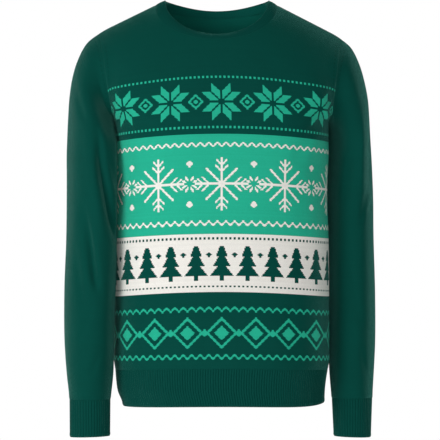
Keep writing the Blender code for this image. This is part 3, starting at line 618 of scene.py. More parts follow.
def trim_path(front, back):
    """Seam and edge of the neck trim, anticlockwise from the right high point. The edge is
    narrower and higher than the neckline: half an oval in front, nearly a parabola behind."""
    columns = np.arange(-PANEL_COLUMNS, PANEL_COLUMNS + 1)
    within = np.abs(columns) <= PANEL_COLUMNS * CAD_NECK_COLUMN // CAD_COLUMNS
    ahead = front[-1][within]
    behind = back[-1][within][::-1][1:-1]
    seam = np.concatenate((ahead, behind))
    face = np.concatenate((np.full(len(ahead), -1), np.full(len(behind), 1)))
    reach = np.clip(np.abs(seam[:, 0] - NECK_X) / NECK_HALF, 0.0, 1.0)
    power = np.where(face < 0, TRIM_POWER[-1], TRIM_POWER[1])
    fall = np.where(face < 0, TRIM_DROP[-1], TRIM_DROP[1])
    sunk = (1 - reach ** 2) ** power
    x = TRIM_X + np.sign(seam[:, 0] - NECK_X) * TRIM_HALF * reach
    edge = np.stack((x, seam[:, 1] * TRIM_DEPTH, TRIM_RISE - (TRIM_RISE + fall) * sunk), axis=-1)
    return seam, edge


# ---- From grids to shells
def steps_along(points, axis):
    """Distance run along the grid lines in one direction, starting at 0."""
    lengths = np.linalg.norm(np.diff(points, axis=axis), axis=2)
    return np.concatenate((np.zeros_like(np.take(lengths, [0], axis=axis)),
                           np.cumsum(lengths, axis=axis)), axis=axis)


def normals_of(points, closed, outward):
    """Unit normals: the cross product of the grid's two directions."""
    if closed:
        along = np.roll(points, -1, axis=1) - np.roll(points, 1, axis=1)
    else:
        along = np.gradient(points, axis=1)
    up = np.gradient(points, axis=0)
    normals = np.cross(along, up) * outward
    return normals / np.maximum(np.linalg.norm(normals, axis=2), 1e-12)[..., None]


def edge_distance(points, closed):
    """Distance along the grid lines to the nearest edge of the piece."""
    run = steps_along(points, 0)
    away = np.minimum(run, run[-1] - run)
    if not closed:
        run = steps_along(points, 1)
        away = np.minimum(away, np.minimum(run, run[:, -1:] - run))
    return away


def quad_corners(rows, width, closed):
    """Indices of the corners of a grid's quads."""
    index = np.arange(rows * width).reshape(rows, width)
    right = np.roll(index, -1, axis=1) if closed else index[:, 1:]
    left = index if closed else index[:, :-1]
    return np.stack((left[:-1], right[:-1], right[1:], left[1:]), axis=-1).reshape(-1, 4)


def shell(outer, inner, chart, closed, outward):
    """Closed shell: the outer grid, the inner one facing the other way, and rims along the
    edges. The chart holds the maps at the left and right corners of every column of quads."""
    rows, width = outer.shape[:2]
    size = rows * width
    quads = quad_corners(rows, width, closed)
    left, right = chart
    corners = np.stack((left[:-1], right[:-1], right[1:], left[1:]), axis=2).reshape(-1, 4, 3)
    index = np.arange(size).reshape(rows, width)
    ends = np.roll(index, -1, axis=1) if closed else index[:, 1:]
    starts = index if closed else index[:, :-1]
    rim_edges = [(starts[0], ends[0], left[0], right[0]),
                 (ends[-1], starts[-1], right[-1], left[-1])]
    if not closed:
        rim_edges.append((index[:-1, -1], index[1:, -1], right[:-1, -1], right[1:, -1]))
        rim_edges.append((index[1:, 0], index[:-1, 0], left[1:, 0], left[:-1, 0]))
    rims = np.concatenate([np.stack((b, a, a + size, b + size), axis=-1)
                           for a, b, _, _ in rim_edges])
    rim_corners = np.concatenate([np.stack((q, p, p, q), axis=1) for _, _, p, q in rim_edges])
    faces = np.concatenate((quads, quads[:, ::-1] + size, rims))
    maps = np.concatenate((corners, corners[:, ::-1], rim_corners))
    if outward < 0:
        faces = faces[:, ::-1]
        maps = maps[:, ::-1]
    vertices = np.concatenate((outer.reshape(-1, 3), inner.reshape(-1, 3)))
    inside = np.concatenate((np.zeros(len(quads)), np.ones(len(quads)), np.zeros(len(rims))))
    return vertices, faces, maps, inside


def add_object(name, data):
    """New object in the scene."""
    thing = bpy.data.objects.new(name, data)
    bpy.context.scene.collection.objects.link(thing)
    return thing


def make_piece(name, vertices, faces, maps, inside, material):
    """Mesh object from arrays, with two maps: of the stitches, and of the distance from the
    armhole with a mark on the faces inside."""
    mesh = bpy.data.meshes.new(name)
    mesh.vertices.add(len(vertices))
    mesh.vertices.foreach_set("co", vertices.ravel())
    mesh.loops.add(faces.size)
    mesh.loops.foreach_set("vertex_index", faces.ravel())
    mesh.polygons.add(len(faces))
    mesh.polygons.foreach_set("loop_start", np.arange(0, faces.size, 4))
    mesh.update(calc_edges=True)
    place = np.stack((maps[..., 2], np.repeat(inside[:, None], 4, axis=1)), axis=-1)
    for layer, values in (("stitches", maps[..., :2]), ("place", place)):
        mesh.uv_layers.new(name=layer).uv.foreach_set("vector", values.ravel())
    mesh.shade_smooth()
    mesh.set_sharp_from_angle(angle=SHARP)
    mesh.materials.append(material)
    return add_object(name, mesh)


def sink_seams(points, closed, outward):
    """Press the edges in along the seams, with a slight swell beside each, as linking does."""
    depth = bpy.context.scene.jumper_knit.seam_depth
    share, place, spread = SEAM_SWELL
    away = edge_distance(points, closed)
    swell = share * depth * bell(away - place * SEAM_WIDTH, spread * SEAM_WIDTH)
    dip = depth * bell(away, SEAM_WIDTH) - swell
    return points - normals_of(points, closed, outward) * dip[..., None]


# ---- Knitted finish, in nodes
class Term:
    """A number worked out by a material's nodes, so that a pattern reads as a formula."""

    def __init__(self, tree, socket):
        self.tree = tree
        self.socket = socket

    def run(self, operation, *others):
        node = self.tree.nodes.new("ShaderNodeMath")
        node.operation = operation
        for place, value in zip(node.inputs, (self, *others)):
            if isinstance(value, Term):
                self.tree.links.new(value.socket, place)
            else:
                place.default_value = value
        return Term(self.tree, node.outputs[0])

    def __add__(self, other):
        return self.run("ADD", other)

    def __sub__(self, other):
        return self.run("SUBTRACT", other)

    def __mul__(self, other):
        return self.run("MULTIPLY", other)

    def __truediv__(self, other):
        return self.run("DIVIDE", other)

    def __lt__(self, other):
        return self.run("LESS_THAN", other)

    def __gt__(self, other):
        return self.run("GREATER_THAN", other)

    def flipped(self):
        return (self * -1.0) + 1.0

    def repeat(self, pitch):
        """Distance to the nearest multiple of the pitch."""
        return self.run("PINGPONG", pitch / 2)


def set_surface(shader, values):
    """Set a shader's own sockets, for what is the same all over."""
    for name, value in values.items():
        shader.inputs[name].default_value = value


def either(*marks):
    """1 where any of the marks is 1."""
    total = marks[0]
    for mark in marks[1:]:
        total = total.run("MAXIMUM", mark)
    return total


class Finish:
    """A new material, with the numbers that its formulas read: wale and course count stitches
    across and along the knitting, beside is the distance from the armhole, and inside is 1 on
    the wrong side of the cloth."""

    def __init__(self, name):
        self.material = bpy.data.materials.new(name)
        self.material.use_nodes = True
        self.tree = self.material.node_tree
        self.shader = self.tree.nodes["Principled BSDF"]
        self.wale, self.course = self.read_map("stitches")
        self.beside, self.inside = self.read_map("place")
        self.place = self.tree.nodes.new("ShaderNodeTexCoord").outputs["Object"]

    def read_map(self, name):
        chart = self.tree.nodes.new("ShaderNodeUVMap")
        chart.uv_map = name
        parts = self.tree.nodes.new("ShaderNodeSeparateXYZ")
        self.tree.links.new(chart.outputs["UV"], parts.inputs["Vector"])
        return Term(self.tree, parts.outputs["X"]), Term(self.tree, parts.outputs["Y"])

    def noise(self, scale, detail):
        """Soft random number round 0.5, with spots of about 1/scale metres."""
        node = self.tree.nodes.new("ShaderNodeTexNoise")
        node.inputs["Scale"].default_value = scale
        node.inputs["Detail"].default_value = detail
        self.tree.links.new(self.place, node.inputs["Vector"])
        return Term(self.tree, node.outputs[0])

    def noise_along(self, number):
        """Random number from 0 to 1 for each whole value of a number."""
        node = self.tree.nodes.new("ShaderNodeTexWhiteNoise")
        node.noise_dimensions = "1D"
        self.tree.links.new(number.run("FLOOR").socket, node.inputs["W"])
        return Term(self.tree, node.outputs["Value"])

    def dye(self, mark, colour, ground):
        """Colour where the mark is 1, over a ground that is a colour or an earlier dye."""
        node = self.tree.nodes.new("ShaderNodeMix")
        node.data_type = "RGBA"
        self.tree.links.new(mark.socket, node.inputs["Factor"])
        under, over = node.inputs[6], node.inputs[7]
        if isinstance(ground, tuple):
            under.default_value = (*ground, 1.0)
        else:
            self.tree.links.new(ground, under)
        over.default_value = (*colour, 1.0)
        return node.outputs[2]

    def shade(self, ground, factor):
        """The ground's colour times a number."""
        node = self.tree.nodes.new("ShaderNodeVectorMath")
        node.operation = "SCALE"
        if isinstance(ground, tuple):
            node.inputs[0].default_value = ground
        else:
            self.tree.links.new(ground, node.inputs[0])
        self.tree.links.new(factor.socket, node.inputs["Scale"])
        return node.outputs["Vector"]

    def stitch_height(self, wale, course):
        """Plain knitting: each wale is a column of Vs, whose two legs rise outwards and are
        round both along the course and across the leg."""
        across = (wale.run("FRACT") - 0.5).run("ABSOLUTE") * 2.0
        leg = (course - across * LEG_RISE).run("FRACT")
        round_along = ((leg * 2.0 - 1.0).run("POWER", 2.0)).flipped()
        round_across = ((across * 2.0 - 1.0).run("POWER", 2.0) * LEG_FALL).flipped()
        return round_along * round_across

    def finish_cloth(self, ground, height, marks_and_painted_shade):
        """Paint shade into the grooves between stitches and paint the wrong side paler, both as
        painted light; mottle the yarn, and add the relief.
        """
        knit = bpy.context.scene.jumper_knit
        mottle = (self.noise(*YARN) - 0.5) * knit.mottle
        cloudy = (self.noise(*CLOUDS) - 0.5) * (CLOUD_SHARE * knit.mottle)
        streak = (self.noise_along(self.course) - 0.5) * (STREAK_SHARE * knit.mottle)
        # Painted shade: the low parts of each stitch, between the loops of yarn, are painted
        # darker.
        mottle_and_painted_light = height * knit.groove_painted_shade + (1.0 - 0.5 * knit.groove_painted_shade)
        # Painted light: the wrong side of the cloth is painted paler, standing in for light that
        # falls inside the neck.
        mottle_and_painted_light = (mottle_and_painted_light + mottle + cloudy + streak) * (self.inside * INSIDE_PAINTED_LIGHT + 1.0)
        links = self.tree.links
        links.new(self.shade(ground, mottle_and_painted_light * marks_and_painted_shade), self.shader.inputs["Base Color"])
        bump = self.tree.nodes.new("ShaderNodeBump")
        bump.inputs["Strength"].default_value = 1.0
        bump.inputs["Distance"].default_value = knit.stitch_relief
        fuzz = (self.noise(*FUZZ) - 0.5) * FUZZ_HEIGHT
        links.new((height + fuzz).socket, bump.inputs["Height"])
        links.new(bump.outputs["Normal"], self.shader.inputs["Normal"])
        set_surface(self.shader, SURFACE)
        return self.material


def between(number, low, high):
    """1 where a number lies between two others."""
    return (number > low) * (number < high)


def off(number, level):
    """How far a number is from a level, either way."""
    return (number - level).run("ABSOLUTE")


def star(x, y, petal):
    """Eight-petalled star: each petal is a slanted diamond, about a stitch clear of the axes and
    of the diagonals, and a little more than twice as long as it is wide."""
    far = x.run("MAXIMUM", y)
    near = x.run("MINIMUM", y)
    return between(near, STAR_GAP, petal) * between(far - near, STAR_GAP, petal)


def snowflake(x, y, reach):
    """Snowflake: four straight arms, four slanted ones that are shorter, and two pairs of
    barbs on each straight arm."""
    far = x.run("MAXIMUM", y)
    near = x.run("MINIMUM", y)
    arm = (near < FLAKE_ARM) * (far < reach)
    slanted = ((far - near) < FLAKE_SLANT[0] * FLAKE_ARM) * (far < FLAKE_SLANT[1] * reach)
    barbs = [between(far - near, start * reach, start * reach + BARB_WIDTH * FLAKE_ARM)
             * (near < span * reach) * (far < reach) for start, span in FLAKE_BARBS]
    return either(arm, slanted, *barbs)


def fir_tree(x, y, height):
    """Fir tree of three tiers, each narrower at its top and wider than the one above, on a short
    trunk."""
    tier = y * (TREE_TIERS / height)
    width = (tier.run("FLOOR") * -TREE_WIDTH[1] + TREE_WIDTH[0]) * height
    slope = tier.run("FRACT") * -TREE_TAPER + 1.0
    crown = (x < width * slope) * between(y, 0.0, height)
    trunk = (x < TREE_TRUNK[0] * height) * between(y, -TREE_TRUNK[1] * height, 0.0)
    return either(crown, trunk)


def diamond(x, y, inner, outer):
    """Diamond ring between two sizes."""
    return between(x + y, inner, outer)


def zigzags(x, y, levels):
    """Zigzags at some levels, each as high as half its period."""
    wave = x.repeat(ZIGZAG_PERIOD) - 0.25 * ZIGZAG_PERIOD
    return [(wave - (y - level)).run("ABSOLUTE") < LINE for level in levels]


def dots(x, y, levels):
    """Rows of square dots at some levels, two stitches wide and two apart."""
    stitch = bpy.context.scene.jumper_knit.wale
    column = x.repeat(4 * stitch) < stitch
    return [column * (off(y, level) < stitch) for level in levels]


def alternate(x, pitch):
    """Distances from the nearest motif of a row, and from the nearest middle between two."""
    return x.repeat(pitch), (x + pitch / 2).repeat(pitch)


def borders(row):
    """Levels of the two lines that frame a row of motifs."""
    return row["level"] - row["border"], row["level"] + row["border"]


def chest_motifs(x, y):
    """Stars and small diamonds between dotted lines."""
    middle, gap = alternate(x, CHEST["pitch"])
    rise = off(y, CHEST["level"])
    return [star(middle, rise, CHEST["petal"]), diamond(gap, rise, *CHEST["core"]),
            diamond(gap, rise, *CHEST["ring"]), *dots(x, y, borders(CHEST))]


def hem_motifs(x, y):
    """Diamonds in rings, with a small diamond between each two, between zigzags."""
    middle, gap = alternate(x, HEM_ROW["pitch"])
    rise = off(y, HEM_ROW["level"])
    return [diamond(middle, rise, *HEM_ROW["core"]), diamond(middle, rise, *HEM_ROW["ring"]),
            diamond(gap, rise, *HEM_ROW["link"]), *zigzags(x, y, borders(HEM_ROW))]


def mint_band_motifs(x, y):
    """Snowflakes, with a small star and two spots between each two, between zigzags."""
    middle, gap = alternate(x, FLAKES["pitch"])
    rise = off(y, FLAKES["level"])
    spots = [diamond(gap, off(y, FLAKES["level"] + way * FLAKES["spot_rise"]), *FLAKES["spot"])
             for way in (-1, 1)]
    return [snowflake(middle, rise, FLAKES["reach"]), star(gap, rise, FLAKES["petal"]), *spots,
            *zigzags(x, y, borders(FLAKES))]


def cream_band_motifs(x, y):
    """Fir trees, with a spot between each two, between dotted lines."""
    middle, gap = alternate(x, TREES["pitch"])
    spot = diamond(gap, off(y, TREES["level"] + TREES["spot_rise"]), *TREES["spot"])
    return [fir_tree(middle, y - TREES["level"], TREES["height"]), spot,
            *dots(x, y, TREES["borders"])]


def colourwork(finish, colours, motifs):
    """Bands and motifs of the front, or bands with two zigzags for the back. Every stitch has one
    colour, so the patterns are read at the middle of the stitch, in metres from the middle line
    and over the hem ribbing."""
    knit = bpy.context.scene.jumper_knit
    x = (finish.wale.run("FLOOR") + 0.5) * knit.wale
    y = (finish.course.run("FLOOR") + 0.5) * knit.course
    pine, mint, cream = (tuple(colour) for colour in (colours.pine, colours.mint, colours.cream))
    ground = finish.dye(between(y, *MINT_BAND), mint, pine)
    ground = finish.dye(between(y, *CREAM_BAND), cream, ground)
    if not motifs:
        return finish.dye(either(*zigzags(x, y, BACK_ZIGZAGS)), cream, ground)
    ground = finish.dye(either(*chest_motifs(x, y), *hem_motifs(x, y)), mint, ground)
    ground = finish.dye(either(*mint_band_motifs(x, y)), cream, ground)
    return finish.dye(either(*cream_band_motifs(x, y)), pine, ground)


def jersey(name, pattern):
    """Plain knitting, with bands or motifs, and with the marks where stitches were taken in
    beside the armholes. The wrong side shows bars instead of Vs, in the same colours, painted
    paler as painted light."""
    finish = Finish(name)
    colours = bpy.context.scene.jumper_colours
    height = finish.stitch_height(finish.wale, finish.course)
    bars = (finish.course.run("FRACT") * 2.0 - 1.0).run("POWER", 2.0).flipped()
    height = height + (bars - height) * finish.inside
    if pattern == "plain":
        ground = tuple(colours.pine)
    else:
        ground = colourwork(finish, colours, pattern == "motifs")
    taken_in = off(finish.beside, MARK_INSET) < MARK_WIDTH
    taken_in = taken_in * ((finish.course / MARK_EVERY).run("FRACT") < MARK_SHARE)
    mark_shade = (taken_in * MARK_SHADE).flipped()
    return finish.finish_cloth(ground, height, mark_shade)


def ribbing(name):
    """Ribbing: one wale of Vs on each rib, and painted shade in the groove between them."""
    finish = Finish(name)
    colours = bpy.context.scene.jumper_colours
    height = finish.stitch_height(finish.wale, finish.course)
    # Painted shade: the cloth is painted darker towards each groove between the ribs.
    groove = (finish.wale.run("FRACT") - 0.5).run("ABSOLUTE") * 2.0
    groove = (groove.run("POWER", RIB_GROOVE_PAINTED_SHADE_POWER) * RIB_GROOVE_PAINTED_SHADE).flipped()
    return finish.finish_cloth(tuple(colours.rib), height, groove)


# ---- Pieces
def stitch_map(wale, course, beside):
    """Map for an open grid: both corners of each column of quads."""
    chart = np.stack((wale, course, beside), axis=-1)
    return chart[:, :-1], chart[:, 1:]


def panel_piece(name, node, face, material):
    """Front or back cloth: wales run up at even distances from the middle line, and courses
    follow the arch of the bands. Above the underarm a course hangs lower at the sides by a share
    of its height, and is counted by the length of the cloth on the middle line."""
    knit = bpy.context.scene.jumper_knit
    outward = -face
    points, shares = panel_points(face)
    run = steps_along(points, 1)
    wale = (run - run[:, PANEL_COLUMNS:PANEL_COLUMNS + 1]) / knit.wale
    height = points[..., 2] + HEM_SEAM + curve(DROOP, "course", -points[..., 2]) * shares ** 2
    lift = points[LOW_ROWS:, :, 2] + UNDERARM
    level = lift + (curve(DROOP, "course", UNDERARM) + CHEST_DROOP * lift) * shares ** 2
    middle = lift[:, PANEL_COLUMNS]
    length = steps_along(points[LOW_ROWS:], 0)[:, PANEL_COLUMNS]
    height[LOW_ROWS:] = HEM_SEAM - UNDERARM + np.interp(level, middle, length)
    height[LOW_ROWS:] += np.maximum(level - middle[-1], 0.0)
    beside = np.minimum(run, run[:, -1:] - run)
    beside[:LOW_ROWS] = 1.0
    away = edge_distance(points, False)
    depth = line_creases(points, PANEL_CREASES[face]) * ease(away / LINE_CLEAR)
    shaped = points - normals_of(points, False, outward) * depth[..., None]
    upper = shaped[LOW_ROWS:]
    for side, from_side in ((-1, run), (1, run[:, -1:] - run)):
        upper = round_armholes(upper, from_side[LOW_ROWS:], armhole_turn(side, face)[:, None])
    shaped = np.concatenate((shaped[:LOW_ROWS], upper))
    shaped = sink_seams(shaped, False, outward)
    chart = stitch_map(wale, height / knit.course, beside)
    return cloth_piece(name, node, shaped, chart, False, outward, material)


def part_seams(points, closed, outward):
    """Draw the edges in by half the gap of a seam, and keep an open piece that far on its own
    side of the plane in which the side seams and shoulder seams lie."""
    points = points.copy()
    for grid in (points,) if closed else (points, np.swapaxes(points, 0, 1)):
        for edge, beside in ((0, 1), (-1, -2)):
            step = grid[beside] - grid[edge]
            length = np.maximum(np.linalg.norm(step, axis=-1, keepdims=True), SEAM_GAP)
            grid[edge] += step * (SEAM_GAP / 2 / length)
    if not closed:
        points[..., 1] = -outward * np.maximum(-outward * points[..., 1], SEAM_GAP / 2)
    return points


def place_piece(piece, node):
    """Let a piece ride on the body, where its solid was, and hide that solid."""
    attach(piece, "root")
    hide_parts(node)
    return piece


def shell_piece(name, node, grids, chart, closed, outward, material):
    """Shell between an outer and an inner grid, parted from its neighbours at the seams."""
    faces = (part_seams(grid, closed, outward) for grid in grids)
    return place_piece(make_piece(name, *shell(*faces, chart, closed, outward), material), node)


def cloth_piece(name, node, points, chart, closed, outward, material):
    """Shell of even thickness."""
    inner = points - normals_of(points, closed, outward) * bpy.context.scene.jumper_knit.wall
    return shell_piece(name, node, (points, inner), chart, closed, outward, material)


def ring_map(wale_at, wale_end, course, beside):
    """Map for a closed grid: the wale count jumps from one column of quads to the next, at the
    seam, from its value at the end to that at the start."""
    left = np.stack((wale_at, course, beside), axis=-1)
    right = np.roll(left, -1, axis=1)
    right[..., 0] = wale_end
    return left, right


def sleeve_piece(name, node, side, material):
    """Sleeve cloth: wales run down at even distances from the outside line, both ways round to
    the seam on the inside, and courses count the cloth's length up from the cuff."""
    knit = bpy.context.scene.jumper_knit
    points = sleeve_points(side)
    ring = np.concatenate((points, points[:, :1]), axis=1)
    run = steps_along(ring, 1)
    lengthwise = steps_along(points, 0)
    start, end = run[:, :-1].copy(), run[:, 1:].copy()
    for count in (start, end):
        count[:, ARM_ROWS:] -= run[:, -1:]
    course = (lengthwise[-1] - lengthwise) / knit.course
    beside = np.where(lengthwise < NEAR_ARMHOLE, lengthwise, 1.0)
    chart = ring_map(start / knit.wale, end / knit.wale, course, beside)
    turn = np.concatenate((armhole_turn(side, -1)[:0:-1], armhole_turn(side, 1)[:-1]))
    shaped = round_armholes(points, lengthwise, turn)
    shaped = sink_seams(shaped, True, side)
    return cloth_piece(name, node, shaped, chart, True, side, material)


def rib_grooves(count, steps, depth):
    """How far each column lies inside the crests of rounded ribs, with a narrow groove before
    each and so many steps to a rib."""
    phase = (np.arange(count) % steps) / steps
    return depth * (1 - np.abs(np.sin(math.pi * phase)) ** RIB_ROUNDING)


def rib_relief(count, steps, height):
    """How far the ribbing lies inside its crests: the grooves, a turned lower edge with a swell
    above it, and a sunken seam."""
    knit = bpy.context.scene.jumper_knit
    groove = rib_grooves(count, steps, knit.rib_depth)
    low = RIB_ROWS * height
    turn = EDGE_TURN[0] * (1 - ease(low / EDGE_TURN[1]))
    edge = turn - EDGE_ROLL[0] * bell(low - EDGE_ROLL[1], EDGE_ROLL[2])
    seam = knit.seam_depth * bell(height - low, SEAM_WIDTH)
    flat = EDGE_FLAT[0] * bell(low, EDGE_FLAT[1])
    return (edge + seam)[:, None] + groove * (1 - flat)[:, None]


def rib_piece(name, node, points, closed, outward, steps, height, material):
    """Ribbed cloth: the outer face is pressed in between the ribs, over a plain inner face."""
    knit = bpy.context.scene.jumper_knit
    normals = normals_of(points, closed, outward)
    rows, width = points.shape[:2]
    relief = rib_relief(width, steps, height)
    outer = points - normals * relief[..., None]
    plain = (relief.min(axis=1) + knit.rib_depth + RIB_WALL)[:, None, None]
    inner = points - normals * plain
    wale = np.broadcast_to(np.arange(width) / steps, (rows, width))
    course = np.broadcast_to((RIB_ROWS * height / knit.course)[:, None], (rows, width))
    beside = np.ones((rows, width))
    if closed:
        chart = ring_map(wale, wale + 1 / steps, course, beside)
    else:
        chart = stitch_map(wale, course, beside)
    return shell_piece(name, node, (outer, inner), chart, closed, outward, material)


def even_loops(seam, edge, count):
    """A closed seam and the edge that belongs to it, both read at even steps of the seam."""
    seam, edge = (np.concatenate((loop, loop[:1])) for loop in (seam, edge))
    run = np.concatenate(([0], np.cumsum(np.linalg.norm(np.diff(seam, axis=0), axis=1))))
    even = np.linspace(0, run[-1], count + 1)[:-1]
    return [np.stack([np.interp(even, run, loop[:, i]) for i in range(3)], axis=-1)
            for loop in (seam, edge)]


def soften(loop, reach):
    """Closed line with its corners rounded: the mean over so many steps each way, taken twice."""
    for _ in range(2):
        loop = np.mean([np.roll(loop, step, axis=0) for step in range(-reach, reach + 1)], axis=0)
    return loop


def trim_points(count):
    """Neck trim: a flat loop of doubled cloth, carried round the neckline. Its profile goes up
    the outside, over a rounded fold and down the inside."""
    low, high = even_loops(*trim_path(panel_points(-1)[0], panel_points(1)[0]), count)
    high = soften(high, TRIM_CORNER)
    along = soften(np.roll(low, -1, axis=0) - np.roll(low, 1, axis=0), TRIM_CORNER)
    across = high - low
    width = np.linalg.norm(across, axis=1)[:, None]
    unit = across / width
    normal = np.cross(along, across)
    normal /= np.linalg.norm(normal, axis=1)[:, None]
    radius = TRIM_WALL / 2
    groove = rib_grooves(count, TRIM_STEPS, TRIM_RIB_DEPTH)[:, None]
    seam_depth = bpy.context.scene.jumper_knit.seam_depth
    outside, fold, under = TRIM_ROWS
    rows = []
    for share in np.linspace(0, 1, outside):
        reach = SEAM_GAP + share * (width - radius - SEAM_GAP)
        lift = TRIM_SWELL * math.sin(math.pi * share) - seam_depth * bell(reach, SEAM_WIDTH)
        lift = lift - groove * min(1.0, TRIM_GROOVE_START * share)
        rows.append(low + unit * reach + normal * lift)
    for turn in np.linspace(0, math.pi, fold)[1:-1]:
        out = radius * math.cos(turn)
        up = radius * math.sin(turn)
        fade = groove * math.cos(turn / 2)
        rows.append(high + unit * (up - radius) + normal * (out - radius - fade))
    inset = SEAM_GAP + (TRIM_INSET - SEAM_GAP) * ease(0.5 - low[:, 1:2] / TRIM_INSET_EASE)
    for share in np.linspace(1, 0, under):
        reach = inset + share * (width - radius - inset)
        rows.append(low + unit * reach - normal * TRIM_WALL)
    return np.array(rows)


def trim_piece(name, node, material):
    """Neck trim, a grid that closes both ways, with the courses counted round its profile."""
    knit = bpy.context.scene.jumper_knit
    count = TRIM_RIBS * TRIM_STEPS
    points = trim_points(count)
    size = points.shape[:2]
    steps = np.linalg.norm(np.diff(points, axis=0), axis=2).mean(axis=1)
    course = np.concatenate(([0], np.cumsum(steps))) / knit.course
    wale = np.broadcast_to(np.arange(count) / TRIM_STEPS, size)
    course = np.broadcast_to(course[:, None], size)
    left, right = ring_map(wale, wale + 1 / TRIM_STEPS, course, np.ones(size))
    high_left, high_right = np.roll(left, -1, axis=0), np.roll(right, -1, axis=0)
    corners = np.stack((left, right, high_right, high_left), axis=2).reshape(-1, 4, 3)
    index = np.arange(size[0] * count).reshape(size)
    quads = np.stack((index, np.roll(index, -1, axis=1), np.roll(index, (-1, -1), axis=(0, 1)),
                      np.roll(index, -1, axis=0)), axis=-1).reshape(-1, 4)
    inside = np.repeat(np.arange(size[0]) >= size[0] - TRIM_ROWS[-1], count).astype(float)
    piece = make_piece(name, points.reshape(-1, 3), quads, corners, inside, material)
    return place_piece(piece, node)


# ---- Sizes and colours that a user would change
class JumperColours(bpy.types.PropertyGroup):
    """Yarn colours."""

    pine: bpy.props.FloatVectorProperty(
        name="Pine", description="Ground of the body and sleeves", subtype="COLOR", size=3,
        min=0.0, max=1.0, default=(0.0020, 0.060, 0.046))
    rib: bpy.props.FloatVectorProperty(
        name="Rib", description="Ribbing and neck trim", subtype="COLOR", size=3,
        min=0.0, max=1.0, default=(0.0020, 0.055, 0.043))
    mint: bpy.props.FloatVectorProperty(
        name="Mint", description="Upper band and motifs", subtype="COLOR", size=3,
        min=0.0, max=1.0, default=(0.020, 0.42, 0.27))
    cream: bpy.props.FloatVectorProperty(
        name="Cream", description="Lower band and motifs", subtype="COLOR", size=3,
        min=0.0, max=1.0, default=(0.82, 0.80, 0.75))


class JumperKnit(bpy.types.PropertyGroup):
    """Sizes of the knitting."""

    wale: bpy.props.FloatProperty(
        name="Wale", description="Width of a stitch", default=0.0018, min=0.001, max=0.01,
        unit="LENGTH", precision=5)
    course: bpy.props.FloatProperty(
        name="Course", description="Height of a stitch", default=0.00135, min=0.001, max=0.01,
        unit="LENGTH", precision=5)
    wall: bpy.props.FloatProperty(
        name="Cloth", description="Thickness of the jersey", default=0.0022, min=0.001,
        max=0.003, unit="LENGTH", precision=5)
    rib_depth: bpy.props.FloatProperty(
        name="Rib depth", description="Depth of the grooves between ribs", default=0.0009,
        min=0.0, max=0.003, unit="LENGTH", precision=5)
    seam_depth: bpy.props.FloatProperty(
        name="Seam depth", description="How far the linked edges sink in", default=0.0002,
        min=0.0, max=0.002, unit="LENGTH", precision=5)
    stitch_relief: bpy.props.FloatProperty(
        name="Stitch relief", description="Height of the yarn over the gaps of the knitting",
        default=0.00032, min=0.0, max=0.002, unit="LENGTH", precision=6)
    # Painted shade: how much darker the gaps between stitches are painted, standing in for the
    # shade between the loops.
    groove_painted_shade: bpy.props.FloatProperty(
        name="Groove shade", description="How much darker the gaps between stitches are",
        default=0.30, min=0.0, max=1.0, subtype="FACTOR")
    mottle: bpy.props.FloatProperty(
        name="Mottle", description="Unevenness of the yarn's colour", default=0.14, min=0.0,
        max=1.0, subtype="FACTOR")


class JumperStage(bpy.types.PropertyGroup):
    """Camera and light."""

    distance: bpy.props.FloatProperty(
        name="Distance", description="From the camera to the middle of the jumper",
        default=4.5, min=1.0, max=20.0, unit="LENGTH")
    framed: bpy.props.FloatProperty(
        name="Framed", description="Width that the camera takes in at the jumper",
        default=0.7568, min=0.1, max=5.0, unit="LENGTH", precision=4)
    daylight: bpy.props.FloatProperty(
        name="Daylight", description="Strength of the even light from all round",
        default=0.16, min=0.0, max=2.0)
    key: bpy.props.FloatProperty(
        name="Key", description="Power of the large light at the front left", default=84.0,
        min=0.0, max=1000.0, unit="POWER")
    fill: bpy.props.FloatProperty(
        name="Fill", description="Power of the light beside the camera", default=54.0,
        min=0.0, max=1000.0, unit="POWER")
    rim: bpy.props.FloatProperty(
        name="Rim", description="Power of the strips behind each side", default=60.0,
        min=0.0, max=1000.0, unit="POWER")


# ---- Operators
class JUMPER_OT_body(bpy.types.Operator):
    """Knit the front and the back"""

    bl_idname = "jumper.body"
    bl_label = "Front and back"

    def execute(self, context):
        front = panel_piece("front_cloth", "front", -1, jersey("jersey_with_motifs", "motifs"))
        back = panel_piece("back_cloth", "back", 1, jersey("jersey_with_bands", "bands"))
        return {"FINISHED"}


class JUMPER_OT_sleeves(bpy.types.Operator):
    """Knit both sleeves"""

    bl_idname = "jumper.sleeves"
    bl_label = "Sleeves"

    def execute(self, context):
        material = jersey("plain_jersey", "plain")
        for node, side in (("sleeve_right", -1), ("sleeve_left", 1)):
            piece = sleeve_piece(node + "_cloth", node, side, material)
        return {"FINISHED"}


class JUMPER_OT_ribbing(bpy.types.Operator):
    """Knit the hem ribbing and the cuffs"""

    bl_idname = "jumper.ribbing"
    bl_label = "Hem and cuffs"

    def execute(self, context):
        material = ribbing("rib_knit")
        for node, face in (("hem_rib_front", -1), ("hem_rib_back", 1)):
            piece = rib_piece(node + "_cloth", node, hem_points(face), False, -face,
                              HEM_STEPS, HEM - HEM_SEAM, material)
        for node, side in (("cuff_right", -1), ("cuff_left", 1)):
            piece = rib_piece(node + "_cloth", node, cuff_points(side), True, 1,
                              CUFF_STEPS, CUFF_END[side]["height"], material)
        return {"FINISHED"}


class JUMPER_OT_trim(bpy.types.Operator):
    """Knit the neck trim"""

    bl_idname = "jumper.trim"
    bl_label = "Neck trim"

    def execute(self, context):
        piece = trim_piece("neck_trim_cloth", "neck_trim", ribbing("trim_knit"))
        return {"FINISHED"}


class JUMPER_OT_stage(bpy.types.Operator):
    """Set up the floor, the lights and the camera"""

    bl_idname = "jumper.stage"
    bl_label = "Floor, lights and camera"

    def execute(self, context):
        stage = context.scene.jumper_stage
        make_floor()
        for name, place, size, power in LIGHTS:
            make_light(name, place, size, getattr(stage, power))
        light_all_round(stage.daylight)
        make_camera(stage.distance, stage.framed)
        context.scene.view_settings.view_transform = "Standard"
        return {"FINISHED"}


